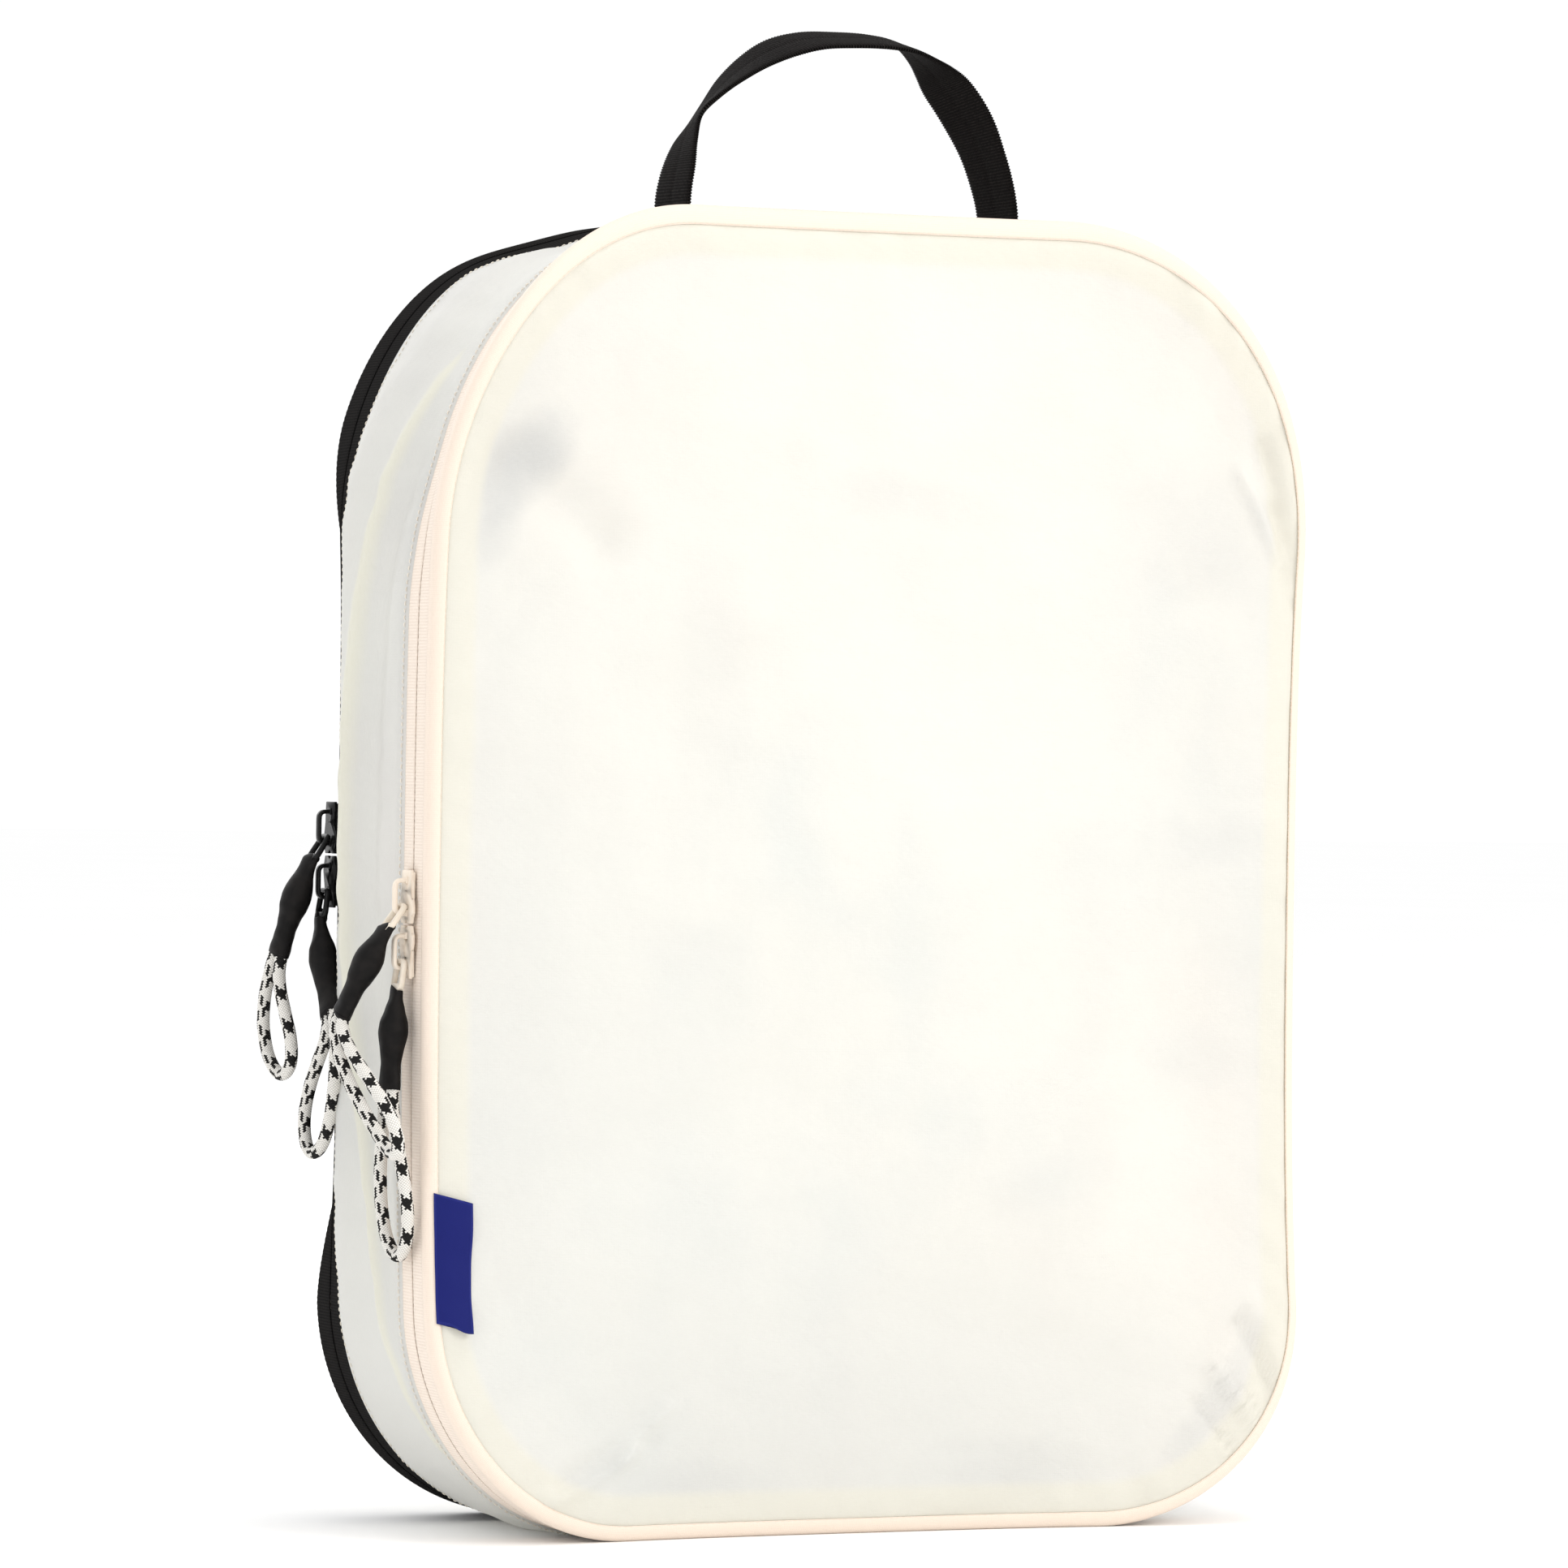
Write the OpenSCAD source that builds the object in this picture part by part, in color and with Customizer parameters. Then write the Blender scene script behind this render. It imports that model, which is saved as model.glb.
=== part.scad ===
// Compression packing cube: a soft zipped box that stands on its bottom side.
// Millimetres. +Z is up, +X is to the right seen from the front, and the front faces -Y.
// The origin is the middle of the bottom face that the cube stands on.

/* [Body] */
// Width across the sides
body_w = 260; // [220:1:300]
// Height from the bottom face to the top of the gusset
body_h = 360; // [320:1:400]
// Depth from the front seam to the rear seam
body_d = 82; // [76:1:100]
// How far each big panel bulges out of its seam
crown = 9; // [3:0.5:14]
// Thickness of every cloth wall
cloth = 1; // [0.6:0.1:1.4]

/* [Corners] */
// Width of the two top corner curves
top_rx = 75; // [50:1:90]
// Height of the two top corner curves
top_rz = 92; // [60:1:100]
// Width of the two bottom corner curves
bottom_rx = 60; // [40:1:80]
// Height of the two bottom corner curves
bottom_rz = 62; // [40:1:80]

/* [Zippers] */
// Distance from the front seam back to the front zipper's line
front_zip_in = 12; // [10:0.5:16]
// Distance from the rear seam forward to the rear zipper's line
rear_zip_in = 11; // [10:0.5:16]
// Width of one zipper tape, beside its row of coils
tape_w = 8; // [7:0.5:10]
// Width of one row of coils
coil_w = 1.2; // [1:0.1:1.5]
// Gap between the two rows of coils, where a slider's post runs
coil_gap = 1.6; // [1.4:0.1:2]
// Height at which the two front sliders meet
front_meet_z = 165.5; // [150:0.5:180]
// Height at which the two rear sliders meet
rear_meet_z = 183; // [170:0.5:190]

/* [Sliders] */
// Length of a slider
slider_l = 14.2; // [12:0.1:16]
// Width across a slider's shoulders
slider_w = 9.6; // [8:0.1:10]
// Thickness of a slider's plates
plate_t = 0.8; // [0.6:0.1:1]
// Length of the bail on a slider
bail_l = 10; // [9:0.1:11]
// Height of the bail over the slider's outer plate
bail_h = 3.8; // [3.6:0.1:4.4]
// Length of a pull's link from its pin to the sleeve
link_l = 9; // [8:0.5:10]
// Diameter of the pull cord
cord_d = 3.6; // [3:0.1:3.7]

/* [Handle] */
// Distance between the middles of the handle's two legs
handle_span = 98; // [80:1:120]
// Height of the handle above the body
handle_h = 51; // [40:1:60]
// Width of the handle webbing
web_w = 20; // [15:1:25]
// Thickness of the handle webbing
web_t = 1.6; // [1.2:0.1:2]
// How far the handle's middle sits in front of the body's middle
handle_forward = 9; // [0:1:12]

/* [Label] */
// Height of the side label
label_h = 36; // [20:1:50]
// Width of the side label outside its seam
label_w = 10; // [6:1:16]

/* [Hidden] */

// Colours
white_cloth = [0.93, 0.93, 0.90];
cream = [0.94, 0.89, 0.82];
cream_plastic = [0.86, 0.80, 0.68];
black_cloth = [0.09, 0.09, 0.09];
black_plastic = [0.12, 0.12, 0.12];
navy = [0.10, 0.12, 0.30];
cord_white = [0.85, 0.84, 0.80];

// Depths, measured along Y
front_y = -body_d / 2;
rear_y = body_d / 2;
front_zip_y = front_y + front_zip_in;
rear_zip_y = rear_y - rear_zip_in;
coil_in = coil_gap / 2;
tape_in = coil_in + coil_w;
front_tape_trim = 1;
gusset_front_y = front_zip_y + tape_in + tape_w - front_tape_trim;
gusset_rear_y = rear_zip_y - tape_in - tape_w;

// The outline: quarter ellipses in the order top right, top left, bottom left, bottom right
corner_steps = 12;
last_point = 4 * (corner_steps + 1) - 1;
zip_from = corner_steps / 2;
zip_to = last_point - corner_steps / 2;
stop_t = 0.8;
stop_h = 24;
stop_steps = 3;

// Big panels: rings of points, and the power that sets how flat their middle is
panel_rings = 9;
panel_flat = 2.6;

// Bindings inside the seams: how deep they reach, and how far past the seam they lie
binding_in = 4.2;
seam_binding_w = 2.5;
hem_over = 2;
hem_under = 3;
rear_hem_under = 1;

// Sliders: the middle of the tapes' thickness, and the plates' distances from it
side_x = -body_w / 2 + cloth / 2;
channel = 1.5;
lip_gap = 1.25;
plate_out = channel + plate_t;
post_w = 1.1;
bail_w = 2.2;
bail_wall = 1.3;
bail_round = 2.6;
pin_out = 3.4;
pin_drop = 2.5;
pin_r = 0.75;
bar_t = 1;
bar_gap = 0.35;
slider_gap = 0.6;
lip_w = 0.9;
lip_l = 7;

// A slider plate: shares of its half width, and heights above its middle
tail_share = 0.7;
waist_share = 0.74;
nose_share = 0.72;
waist_at = -1.5;
shoulder_low = 3;
shoulder_high = 4.6;
notch_half = 1.1;
notch_deep = 1.4;

// A slider's post, which is pointed at both ends
post_tip = 0.3;
post_low = 1.6;
post_middle = 3.4;
post_high = 5.2;

// The neck of a link
neck = 3.2;
neck_lip = 0.3;

// A sleeve's profile: share of its length from the link, and radius
sleeve_profile = [[0, 2.3], [0.2, 2.5], [0.38, 3.9], [0.5, 3.9], [0.68, 2.9], [0.86, 3.6], [1, 4]];
round_steps = 48;
cord_sides = 8;

// One cord loop, laid flat: distance from the sleeve, and distance to the side of its middle
loop_l = 43;
loop_route = [
    [0, 1.95], [3, 2], [7, 2.4], [13, 3.8], [20, 5.6], [27, 6.9], [33, 7], [38, 5.8], [41.6, 3.2],
    [loop_l, 0], [41.6, -3.2], [38, -5.8], [33, -7], [27, -6.9], [20, -5.6], [13, -3.8], [7, -2.4],
    [3, -2], [0, -1.95]
];

// How far a loop's middle keeps its sleeve's direction, and the gaps at a sleeve's two ends
loop_lead = 12;
mouth_gap = 0.15;
cord_gap = 0.15;

// Each pull: [zipper depth, slider height, up or down, link tilt, sleeve end, loop end, loop flatness]
// An end is [out from the tape, back from the zipper line, up from the slider's middle].
// The last value turns the loop about its own length, from lying flat on the side.
upper = 1;
lower = -1;
slider_step = (slider_l + slider_gap) / 2;
front_upper = [front_zip_y, front_meet_z + slider_step, upper, 36, [16.5, 8, -30.5], [11, -19, -67], 0];
front_lower = [front_zip_y, front_meet_z - slider_step, lower, 8, [7, -2, -36], [4, -2, -81], 8];
rear_upper = [rear_zip_y, rear_meet_z + slider_step, upper, 33, [14.5, 5, -34], [12, 10, -68], 10];
rear_lower = [rear_zip_y, rear_meet_z - slider_step, lower, 8, [6.5, -14, -35], [7, -1, -74], 6];

// Handle
pivot_up = 11;
pivot_z = body_h + pivot_up;
arch_power = 2.2;
arch_steps = 28;
anchor_gap = 0.4;
anchor_h = 16;

// Labels
label_t = 0.5;
label_slope = 11;
label_low_z = 62;
label_in = 1.5;
label_out = 0.8;
care_t = 0.3;
care_gap = 0.2;
care_w = 22;
care_h = 14;
care_x = 30;

// A quarter ellipse of corner_steps + 1 points, starting at angle a0
function corner(cx, cz, rx, rz, a0) =
    [for (i = [0:corner_steps]) let (a = a0 + 90 * i / corner_steps) [cx + rx * cos(a), cz + rz * sin(a)]];

// The closed outline at a distance inside the outer one, starting where the right side meets the top
function outline(inset) = concat(
    corner(body_w / 2 - top_rx, body_h - top_rz, top_rx - inset, top_rz - inset, 0),
    corner(top_rx - body_w / 2, body_h - top_rz, top_rx - inset, top_rz - inset, 90),
    corner(bottom_rx - body_w / 2, bottom_rz, bottom_rx - inset, bottom_rz - inset, 180),
    corner(body_w / 2 - bottom_rx, bottom_rz, bottom_rx - inset, bottom_rz - inset, 270));

function reverse(list) = [for (i = [len(list) - 1:-1:0]) list[i]];

function run(inset, from, to) = let (p = outline(inset)) [for (i = [from:to]) p[i % (last_point + 1)]];

// Stands a flat XZ outline up and extrudes it from y0 to y1
module between(y0, y1) {
    translate([0, y1, 0]) rotate([90, 0, 0]) linear_extrude(y1 - y0) children();
}

// A closed wall around the whole outline
module ring(inset, thick, y0, y1) {
    between(y0, y1) difference() {
        polygon(outline(inset));
        polygon(outline(inset + thick));
    }
}

// A wall along part of the outline, from one numbered point to another
module strip(inset, thick, y0, y1, from, to) {
    between(y0, y1) polygon(concat(run(inset, from, to), reverse(run(inset + thick, from, to))));
}

// A big crowned panel: rings of points from the middle out to the seam, in two layers
function panel_layer(lift, out) = [
    for (k = [1:panel_rings]) for (p = outline(0))
        let (s = k / panel_rings, y = out + lift * (1 - pow(s, panel_flat)))
        [p[0] * s, y, body_h / 2 + (p[1] - body_h / 2) * s]
];
module panel(side) {
    n = last_point + 1;
    count = panel_rings * n;
    low = concat([[0, side * (body_d / 2 - cloth + crown), body_h / 2]],
        panel_layer(side * crown, side * (body_d / 2 - cloth)));
    high = concat([[0, side * (body_d / 2 + crown), body_h / 2]],
        panel_layer(side * crown, side * body_d / 2));
    shift = count + 1;
    fan = [for (i = [0:n - 1]) [0, 1 + i, 1 + (i + 1) % n]];
    net = [for (k = [0:panel_rings - 2]) for (i = [0:n - 1])
        let (a = 1 + k * n + i, b = 1 + k * n + (i + 1) % n)
        each [[a, a + n, b + n], [a, b + n, b]]];
    skin = concat(fan, net);
    rim = [for (i = [0:n - 1])
        let (a = 1 + (panel_rings - 1) * n + i, b = 1 + (panel_rings - 1) * n + (i + 1) % n)
        each [[a, a + shift, b + shift], [a, b + shift, b]]];
    lifted = [for (f = skin) [f[0] + shift, f[2] + shift, f[1] + shift]];
    faces = concat(skin, lifted, rim);
    polyhedron(concat(low, high), side < 0 ? faces : [for (f = faces) [f[0], f[2], f[1]]]);
}

// Points along a pull, in the row's own axes
function pull_point(p, out, back, up) = [side_x - out, p[0] + back, p[1] + up];
function link_end(p) = pull_point(p, pin_out + link_l * sin(p[3]), 0, -pin_drop - link_l * cos(p[3]));
function sleeve_end(p) = pull_point(p, p[4][0], p[4][1], p[4][2]);
function loop_end(p) = pull_point(p, p[5][0], p[5][1], p[5][2]);
function unit(v) = v / norm(v);
function sleeve_way(p) = unit(sleeve_end(p) - link_end(p));

// A sleeve's mouth starts where its rim is clear of the link's square end
function sleeve_start(p) =
    let (c = sleeve_way(p) * [-sin(p[3]), 0, -cos(p[3])], rim = sleeve_profile[0][1])
    link_end(p) + sleeve_way(p) * (mouth_gap + rim * sqrt(1 - c * c) / c);

// The middle of a loop: a cubic curve that leaves its sleeve straight and then hangs to the loop's end
function loop_start(p) = sleeve_end(p) + sleeve_way(p) * cord_gap;
function loop_guides(p) = let (a = loop_start(p), d = loop_end(p))
    [a, a + sleeve_way(p) * loop_lead, d + (a - d) / 3, d];
function loop_middle(g, u) = g[0] * pow(1 - u, 3) + 3 * g[1] * u * pow(1 - u, 2)
    + 3 * g[2] * u * u * (1 - u) + g[3] * pow(u, 3);
function loop_way(g, u) = unit((g[1] - g[0]) * pow(1 - u, 2) + (g[2] - g[1]) * 2 * u * (1 - u)
    + (g[3] - g[2]) * u * u);

// The way across a loop, square to its middle and turned away from lying on the side
function loop_side(p, g, u) = let (t = loop_way(g, u), across = [-sin(p[6]), cos(p[6]), 0])
    unit(across - t * (across * t));

// A round tube swept along the loop, with flat ends square to its sleeve
function tangent(p, pts, i) = i == 0 ? sleeve_way(p)
    : i == len(pts) - 1 ? -sleeve_way(p) : unit(pts[i + 1] - pts[i - 1]);
module cord_loop(p) {
    g = loop_guides(p);
    pts = [for (q = loop_route) loop_middle(g, q[0] / loop_l) + loop_side(p, g, q[0] / loop_l) * q[1]];
    rings = [for (i = [0:len(pts) - 1])
        let (u = loop_route[i][0] / loop_l, lift = cross(loop_side(p, g, u), loop_way(g, u)),
            t = tangent(p, pts, i), side = unit(cross(t, lift)), top = cross(side, t))
        for (j = [0:cord_sides - 1])
            let (a = 360 * (j + 0.5) / cord_sides)
            pts[i] + cord_d / 2 * (side * cos(a) + top * sin(a))];
    walls = [for (i = [0:len(pts) - 2]) for (j = [0:cord_sides - 1])
        let (a = i * cord_sides + j, b = i * cord_sides + (j + 1) % cord_sides)
        each [[a, b, b + cord_sides], [a, b + cord_sides, a + cord_sides]]];
    first = [[for (j = [cord_sides - 1:-1:0]) j]];
    last = [[for (j = [0:cord_sides - 1]) (len(pts) - 1) * cord_sides + j]];
    polyhedron(rings, concat(walls, first, last));
}

// Puts its children at a point with their +Z along a direction
module along(point, direction) {
    translate(point)
        rotate([0, acos(direction[2] / norm(direction)), atan2(direction[1], direction[0])])
            children();
}

// One plate of a slider, seen from outside with its nose up
module slider_plate() {
    half = slider_l / 2;
    w = slider_w / 2;
    polygon([[-w * tail_share, -half], [w * tail_share, -half], [w * waist_share, waist_at],
        [w, shoulder_low], [w, shoulder_high], [w * nose_share, half], [notch_half, half],
        [0, half - notch_deep], [-notch_half, half], [-w * nose_share, half], [-w, shoulder_high],
        [-w, shoulder_low], [-w * waist_share, waist_at]]);
}

// One side of a bail: a low arch with round shoulders, standing on the outer plate
module bail_outline(half, high, round) {
    translate([-high + round, -half]) square([high - round, 2 * half]);
    translate([-high, -half + round]) square([high, 2 * (half - round)]);
    for (end = [-1, 1]) translate([-high + round, end * (half - round)]) circle(r = round, $fn = round_steps);
}

// Extrudes a slider outline in the YZ plane outwards, between two distances from the tape's middle
module outwards(from, to) {
    rotate([0, 0, 180]) rotate([90, 0, 90]) translate([0, 0, from]) linear_extrude(to - from) children();
}

module slider(p) {
    lip_x = slider_w / 2 * tail_share;
    translate([side_x, p[0], p[1]]) rotate([p[2] > 0 ? 180 : 0, 0, 0]) {
        for (side = [-1, 1]) outwards(side > 0 ? channel : -plate_out, side > 0 ? plate_out : -channel)
            slider_plate();
        for (side = [-1, 1], edge = [-1, 1])
            outwards(side > 0 ? lip_gap : -channel, side > 0 ? channel : -lip_gap)
                translate([edge * (lip_x - lip_w / 2), -slider_l / 2 + lip_l / 2])
                    square([lip_w, lip_l], center = true);
        outwards(-channel, channel) polygon([[-post_tip, post_low], [post_tip, post_low],
            [post_w / 2, post_middle], [post_tip, post_high], [-post_tip, post_high],
            [-post_w / 2, post_middle]]);
        translate([-plate_out, 0, 0]) rotate([90, 0, 0]) linear_extrude(bail_w, center = true) difference() {
            bail_outline(bail_l / 2, bail_h, bail_round);
            bail_outline(bail_l / 2 - bail_wall, bail_h - bail_wall, bail_round - bail_wall);
        }
    }
}

// A pull's link: a pin through the bail, two bars beside it and a neck that the sleeve grips
module link(p) {
    bar_in = bail_w / 2 + bar_gap;
    translate(pull_point(p, pin_out, 0, -pin_drop)) rotate([0, p[3], 0]) {
        rotate([90, 0, 0]) cylinder(h = 2 * (bar_in + bar_t), r = pin_r, center = true, $fn = round_steps);
        for (side = [-1, 1])
            translate([-pin_r, side > 0 ? bar_in : -bar_in - bar_t, -link_l + neck])
                cube([2 * pin_r, bar_t, link_l - neck + pin_r]);
        translate([-pin_r - neck_lip, -bar_in - bar_t, -link_l])
            cube([2 * (pin_r + neck_lip), 2 * (bar_in + bar_t), neck]);
    }
}

// A heat-shrunk sleeve: narrow mouth, a bulge over the knot, a waist and an open end
module sleeve(p) {
    way = sleeve_end(p) - sleeve_start(p);
    l = norm(way);
    along(sleeve_start(p), way) rotate_extrude($fn = round_steps)
        polygon(concat([[0, 0]], [for (q = sleeve_profile) [q[1], q[0] * l]], [[0, l]]));
}

// Shell: the walls that stay put
module side_gusset() { color(white_cloth) ring(0, cloth, gusset_front_y, gusset_rear_y); }
module front_tape_body() {
    color(cream) strip(0, cloth, front_zip_y + tape_in, gusset_front_y, 0, last_point);
}
module front_coil_body() {
    color(cream_plastic) strip(0, cloth, front_zip_y + coil_in, front_zip_y + tape_in, zip_from, zip_to);
}
module rear_tape_body() {
    color(black_cloth) ring(0, cloth, gusset_rear_y, rear_zip_y - tape_in);
}
module rear_coil_body() {
    color(black_plastic) ring(0, cloth, rear_zip_y - tape_in, rear_zip_y - coil_in);
}
module front_gusset_binding() {
    color(white_cloth)
        ring(cloth, binding_in - cloth, gusset_front_y - hem_over, gusset_front_y + hem_under);
}
module rear_gusset_binding() {
    color(white_cloth)
        ring(cloth, binding_in - cloth, gusset_rear_y - hem_under, gusset_rear_y + rear_hem_under);
}

// The cloth of the right side, which the lid turns on
module lid_hinge_strip() {
    color(white_cloth) translate([body_w / 2 - cloth, front_y + cloth, bottom_rz])
        cube([cloth, gusset_front_y - front_y - cloth, body_h - top_rz - bottom_rz]);
}

// Cloth tabs that cover the front zipper's two ends
module front_zipper_stops() {
    color(cream) for (middle = [zip_from, zip_to])
        strip(-stop_t, stop_t, front_zip_y + coil_in, gusset_front_y, middle - 1, middle - 1 + stop_steps);
}

// The tab that covers both ends of the rear zipper, where they meet on the right side
module rear_zipper_stop() {
    color(black_cloth) translate([body_w / 2, gusset_rear_y, rear_meet_z - stop_h / 2])
        cube([stop_t, rear_zip_y - coil_in - gusset_rear_y, stop_h]);
}

// The sewn-down ends of the handle webbing
module handle_anchors() {
    color(black_cloth) for (side = [-1, 1])
        translate([side * (handle_span / 2 + web_t + anchor_gap), -handle_forward, body_h + anchor_h / 2])
            cube([web_t, web_w, anchor_h], center = true);
}

// The cloth folded behind the rear zipper, which opens out when that zipper is undone
module expansion_gusset() {
    color(white_cloth) ring(binding_in - cloth, cloth, gusset_rear_y + rear_hem_under,
        rear_y - cloth - seam_binding_w);
}

// Lid
module front_panel() { color(white_cloth) panel(-1); }
module front_tape_lid() {
    color(cream) strip(0, cloth, front_y + cloth, front_zip_y - tape_in, 0, last_point);
}
module front_coil_lid() {
    color(cream_plastic) strip(0, cloth, front_zip_y - tape_in, front_zip_y - coil_in, zip_from, zip_to);
}
module lid_binding() {
    color(cream) ring(cloth, binding_in - cloth, front_y + cloth, front_y + cloth + seam_binding_w);
}
module side_label() {
    color(navy) translate([-body_w / 2 + label_in, front_y - label_out, label_low_z])
        rotate([0, 0, -label_slope])
            translate([0, -label_t, 0]) cube([label_w, label_t, label_h]);
}
module care_label() {
    color("white") translate([care_x - care_w / 2, front_y + cloth + care_gap, binding_in])
        cube([care_w, care_t, care_h]);
}

// Back
module back_panel() { color(white_cloth) panel(1); }
module rear_tape_back() {
    color(black_cloth) ring(0, cloth, rear_zip_y + tape_in, rear_y - cloth);
}
module rear_coil_back() {
    color(black_plastic) ring(0, cloth, rear_zip_y + coil_in, rear_zip_y + tape_in);
}
module back_binding() {
    color(black_cloth) ring(cloth, binding_in - cloth, rear_y - cloth - seam_binding_w, rear_y - cloth);
}

// Handle: an arch of webbing whose legs end in round tongues about the line it folds on
function arch(grow) = [for (i = [0:arch_steps]) let (
    a = 180 * i / arch_steps, c = cos(a), s = sin(a), e = 2 / arch_power)
    [(handle_span / 2 + grow) * sign(c) * pow(abs(c), e),
        pivot_z + (handle_h - pivot_up + grow) * pow(abs(s), e)]];
module carry_handle() {
    color(black_cloth) {
        between(-handle_forward - web_w / 2, -handle_forward + web_w / 2)
            polygon(concat(arch(web_t / 2), reverse(arch(-web_t / 2))));
        for (side = [-1, 1]) intersection() {
            translate([side * handle_span / 2, -handle_forward, pivot_z]) rotate([0, 90, 0])
                cylinder(h = web_t, d = web_w, center = true, $fn = round_steps);
            translate([side * handle_span / 2, -handle_forward, pivot_z - web_w / 2])
                cube([web_t, web_w + 1, web_w], center = true);
        }
    }
}

// Pulls
module front_slider_upper() { color(cream_plastic) slider(front_upper); }
module front_link_upper() { color(cream_plastic) link(front_upper); }
module front_sleeve_upper() { color(black_plastic) sleeve(front_upper); }
module front_cord_upper() { color(cord_white) cord_loop(front_upper); }
module front_slider_lower() { color(cream_plastic) slider(front_lower); }
module front_link_lower() { color(cream_plastic) link(front_lower); }
module front_sleeve_lower() { color(black_plastic) sleeve(front_lower); }
module front_cord_lower() { color(cord_white) cord_loop(front_lower); }
module rear_slider_upper() { color(black_plastic) slider(rear_upper); }
module rear_link_upper() { color(black_plastic) link(rear_upper); }
module rear_sleeve_upper() { color(black_plastic) sleeve(rear_upper); }
module rear_cord_upper() { color(cord_white) cord_loop(rear_upper); }
module rear_slider_lower() { color(black_plastic) slider(rear_lower); }
module rear_link_lower() { color(black_plastic) link(rear_lower); }
module rear_sleeve_lower() { color(black_plastic) sleeve(rear_lower); }
module rear_cord_lower() { color(cord_white) cord_loop(rear_lower); }

side_gusset();
front_tape_body();
front_coil_body();
rear_tape_body();
rear_coil_body();
front_gusset_binding();
rear_gusset_binding();
lid_hinge_strip();
front_zipper_stops();
rear_zipper_stop();
handle_anchors();
expansion_gusset();
front_panel();
front_tape_lid();
front_coil_lid();
lid_binding();
side_label();
care_label();
back_panel();
rear_tape_back();
rear_coil_back();
back_binding();
carry_handle();
front_slider_upper();
front_link_upper();
front_sleeve_upper();
front_cord_upper();
front_slider_lower();
front_link_lower();
front_sleeve_lower();
front_cord_lower();
rear_slider_upper();
rear_link_upper();
rear_sleeve_upper();
rear_cord_upper();
rear_slider_lower();
rear_link_lower();
rear_sleeve_lower();
rear_cord_lower();
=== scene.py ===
"""Looks of the packing cube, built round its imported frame. Lengths in the tables are millimetres."""

import math

import bmesh
import bpy
import numpy as np
from mathutils import Matrix, Vector


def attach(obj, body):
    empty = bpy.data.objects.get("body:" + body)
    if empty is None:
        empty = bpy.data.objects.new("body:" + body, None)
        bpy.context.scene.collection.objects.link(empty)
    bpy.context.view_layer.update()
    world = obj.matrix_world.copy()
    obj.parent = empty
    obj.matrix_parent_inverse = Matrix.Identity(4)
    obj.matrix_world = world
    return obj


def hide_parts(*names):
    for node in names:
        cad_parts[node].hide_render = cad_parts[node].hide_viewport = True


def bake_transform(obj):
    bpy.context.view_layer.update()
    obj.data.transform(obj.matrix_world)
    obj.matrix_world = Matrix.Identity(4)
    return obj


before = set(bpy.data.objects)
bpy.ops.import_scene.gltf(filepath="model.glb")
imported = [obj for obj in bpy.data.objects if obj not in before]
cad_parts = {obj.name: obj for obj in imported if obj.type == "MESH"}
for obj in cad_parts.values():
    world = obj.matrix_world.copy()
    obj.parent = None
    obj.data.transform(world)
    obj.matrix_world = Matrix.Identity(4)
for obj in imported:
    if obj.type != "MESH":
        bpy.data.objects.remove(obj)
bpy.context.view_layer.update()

MM = 0.001
# The body: half its width, its height, the middle of its height, and the depths of its seams and zippers
HALF_W, HIGH, MID_Z = 130.0, 360.0, 180.0
FRONT_Y, REAR_Y = -41.0, 41.0
FRONT_ZIP, REAR_ZIP = -29.0, 30.0
# The corners' radii, across and up
TOP_RX, TOP_RZ, LOW_RX, LOW_RZ = 75.0, 92.0, 60.0, 62.0
# Where the sliders ride on the left side
SIDE_X = -129.5
# From a zipper's middle to the edge of each tape, and to the middle of each coil
TAPE_GAP, COIL_OFF = 0.15, 0.65
# Spacings of the stitches, the webbing's ribs and the cord's strands
STITCH, RIB, STRAND = 1.9, 0.86, 0.75
# Strands each way round the cord, and how many of them are black
STRANDS, BLACK_STRANDS = 12, 4

# ---- camera, floor and light

YAW, PITCH, ROLL = math.radians(24.03), math.radians(0.97), math.radians(0.85)
AIM, DISTANCE, LENS = Vector((0, 0, 0.18)), 2.127, 176
back = Vector((-math.sin(YAW) * math.cos(PITCH), -math.cos(YAW) * math.cos(PITCH), math.sin(PITCH)))
camera = bpy.data.objects.new("camera", bpy.data.cameras.new("camera"))
bpy.context.scene.collection.objects.link(camera)
right = Vector((0, 0, 1)).cross(back).normalized()
up = back.cross(right)
turned = Matrix((right * math.cos(ROLL) + up * math.sin(ROLL),
                 up * math.cos(ROLL) - right * math.sin(ROLL), back)).transposed()
camera.matrix_world = Matrix.Translation(AIM + back * DISTANCE) @ turned.to_4x4()
camera.data.sensor_width = 36
camera.data.lens = LENS
camera.data.shift_x = -0.0184
camera.data.shift_y = 0.0555
camera.data.clip_end = 30
bpy.context.scene.camera = camera

LIGHT_AIM = Vector((0, 0, 0.2))
# Name, place, size, watts and colour of each lamp
LAMPS = [
    ("key", (1.4, -2.1, 1.5), 1.4, 24, (1.0, 0.96, 0.91)),
    ("fill", (-2.0, -1.2, 0.9), 1.6, 4, (0.93, 0.97, 1.0)),
    ("top", (0.1, -0.3, 2.1), 1.2, 9, (1.0, 0.97, 0.94)),
    ("rear", (-0.4, 2.0, 1.2), 1.6, 8, (1.0, 1.0, 1.0)),
]
for name, place, size, watts, colour in LAMPS:
    lamp = bpy.data.lights.new(name, "AREA")
    lamp.shape, lamp.size, lamp.energy, lamp.color = "DISK", size, watts, colour
    light = bpy.data.objects.new(name, lamp)
    light.location = place
    light.rotation_euler = (LIGHT_AIM - Vector(place)).to_track_quat("-Z", "Y").to_euler()
    bpy.context.scene.collection.objects.link(light)

world = bpy.data.worlds.new("studio")
bpy.context.scene.world = world
world.use_nodes = True
background = world.node_tree.nodes["Background"]
background.inputs["Color"].default_value = (1.0, 1.0, 1.0, 1)
background.inputs["Strength"].default_value = 1.02
bpy.context.scene.view_settings.view_transform = "Standard"

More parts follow.
